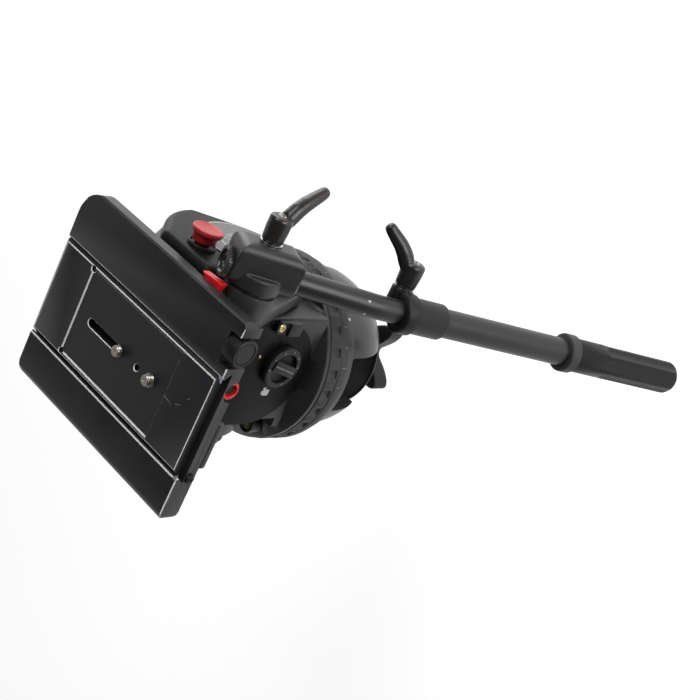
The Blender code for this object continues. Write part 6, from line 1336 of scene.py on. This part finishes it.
# %% Clamp levers
def clamp_lever(stem, seat, reach, rise, degrees, bolt_end_x, carrier, body):
    outward = Vector(LEFT)
    profile = [(8.6, 1.4), (9.2, 1.1), (9.2, 0.3), (8.6, 0), (5.3, 0), (5.3, 1.4)]
    finish(lathe(f"{stem}_washer", profile, seat, outward, steps=64, closed=True), carrier, CHROME)
    foot = seat + outward * 1.7
    profile = [(0, 21.5), (6.4, 21.5), (8.6, 20.6), (9.5, 18.6), (9.5, 10.7), (8.8, 1), (8.2, 0), (0, 0)]
    head = lathe(f"{stem}_lever", profile, foot, outward, steps=64)
    turn = math.radians(degrees)
    along = Vector((0, math.cos(turn), math.sin(turn)))
    root = foot + outward * 15.3
    stations = [
        (0.0, -0.08, 6.4), (0.12, 0.0, 6.8), (0.23, 0.17, 7), (0.36, 0.38, 6.7), (0.52, 0.57, 6.3),
        (0.69, 0.72, 5.8), (0.84, 0.85, 5.3), (0.94, 0.945, 4.7), (0.985, 0.985, 3.6), (1.0, 1.0, 2.1),
    ]
    route = [root + along * (reach * a) + outward * (rise * b) for a, b, _ in stations]
    handle = tube(f"{stem}_handle", route, [r for _, _, r in stations], 8)
    obj = cast_shape(join(head, handle), 0.6, 6)
    obj = converted(obj, f"{stem}_lever")
    crown = foot + outward * 21.5
    obj = cut(
        obj, rod(3.9, crown - outward * 4, crown + outward * 6, 32),
        rod(BOLT_BORE, foot - outward * 4, foot + outward * 8.3, 32),
    )
    finish(obj, body, HANDLE, angle=50)
    profile = [(0, -1.2), (1.6, -1.2), (1.7, 0.4), (3, 0.6), (3.6, 0), (3.6, -3.7), (0, -3.7)]
    finish(lathe(f"{stem}_lever_screw", profile, crown, outward, steps=32), body, STEEL)
    bolt = rod(5, (bolt_end_x, seat.y, seat.z), foot + outward * 8, 40, f"{stem}_bolt")
    finish(bolt, body, STEEL)


clamp_lever("bracket", Vector((-130.3, *HUB)), 40, 30, -95.0, -70, "pan_bar", "bracket_lever")
clamp_lever(
    "collar", Vector((-121.8, COLLAR_POINT.y, COLLAR_POINT.z)), 33.5, 26, 137.7, BAR_X + 13.2,
    "bar_extension", "collar_lever",
)
print("pieces:", len(FINISHED))

# %% [markdown]
# ## Inner CAD nodes
# Shafts and packs inside the head keep their CAD shape and get the same finishes.

# %% Materials of the kept nodes
INNER = {
    STEEL: ("pan_spindle", "tilt_axle", "dial_shaft", "lock_knob_shaft", "release_lever_pin"),
    CAST: ("pan_fluid_pack", "counterbalance_spring_pack", "tilt_fluid_pack"),
}
for paint, names in INNER.items():
    for name in names:
        for slot_of_node in frame["nodes"][name].material_slots:
            slot_of_node.link = "OBJECT"
            slot_of_node.material = paint

# %% [markdown]
# ## Light and floor
# White paper all round: a bright world for the camera, large soft lamps for the head. Lengths are in metres.

# %% World and lamps
WHITE = (1.0, 1.0, 1.0, 1.0)
SKY_COLOUR, SKY_STRENGTH = (0.94, 0.96, 1.0, 1.0), 0.08
DARK_SIDE, BRIGHT_SIDE = -0.25, 0.50
FLOOR_Z, FLOOR_SIZE, FLOOR_GREY, FLOOR_GLOW = -0.34, 3.0, (0.6, 0.6, 0.6, 1.0), 0.80
AIM = (0.0, 0.0, 0.05)


def seen_share(tree, path, reflected):
    """One for camera and transmission rays, the reflected share for glossy ones, zero for light."""
    glossy = math_node(tree, "MULTIPLY", path["Is Glossy Ray"], reflected)
    straight = math_node(tree, "MAXIMUM", path["Is Camera Ray"], path["Is Transmission Ray"])
    return math_node(tree, "MAXIMUM", straight, glossy)


def world():
    """White for what is seen; in reflections white behind the head, and dark on the camera's side."""
    found = bpy.data.worlds.new("studio")
    scene.world = found
    found.use_nodes = True
    tree = found.node_tree
    tree.nodes.clear()
    lit = node(tree, "ShaderNodeBackground", {"Color": SKY_COLOUR, "Strength": SKY_STRENGTH}).outputs[0]
    seen = node(tree, "ShaderNodeBackground", {"Color": WHITE, "Strength": 1.0}).outputs[0]
    path = node(tree, "ShaderNodeLightPath").outputs
    direction = node(tree, "ShaderNodeTexCoord").outputs["Generated"]
    away = node(tree, "ShaderNodeVectorMath", {0: direction, 1: -CAMERA_BACK}, operation="DOT_PRODUCT")
    share = seen_share(tree, path, ramp(tree, away.outputs["Value"], DARK_SIDE, BRIGHT_SIDE))
    mix = node(tree, "ShaderNodeMixShader", {0: share, 1: lit, 2: seen}).outputs[0]
    node(tree, "ShaderNodeOutputWorld", {0: mix})


def lamp(name, place, size, power):
    data = bpy.data.lights.new(name, "AREA")
    data.shape = "RECTANGLE"
    data.size, data.size_y = size
    data.energy = power
    obj = bpy.data.objects.new(name, data)
    scene.collection.objects.link(obj)
    obj.matrix_world = facing(place, Vector(place) - Vector(AIM))


def floor():
    bm = bmesh.new()
    bmesh.ops.create_grid(bm, x_segments=1, y_segments=1, size=FLOOR_SIZE)
    obj = shaped("floor", bm)
    WORK.objects.unlink(obj)
    scene.collection.objects.link(obj)
    obj.location = (0.0, 0.0, FLOOR_Z)
    material, tree, shader = new_material("paper")
    path = node(tree, "ShaderNodeLightPath").outputs
    glow = math_node(tree, "MULTIPLY", seen_share(tree, path, 0.9), FLOOR_GLOW)
    feed(tree, shader, Base_Color=FLOOR_GREY, Roughness=0.9, Emission_Color=WHITE, Emission_Strength=glow)
    obj.data.materials.append(material)


world()
floor()
lamp("top", CAMERA_UP * 1.3 - CAMERA_BACK * 0.25, (1.5, 0.9), 18.0)
lamp("key", CAMERA_PLACE * 0.9 + CAMERA_UP * 0.9 - CAMERA_RIGHT * 0.3, (0.9, 0.5), 9.0)
lamp("side", (-0.8, 1.2, 0.25), (0.8, 0.8), 12.0)

bpy.data.collections.remove(WORK)
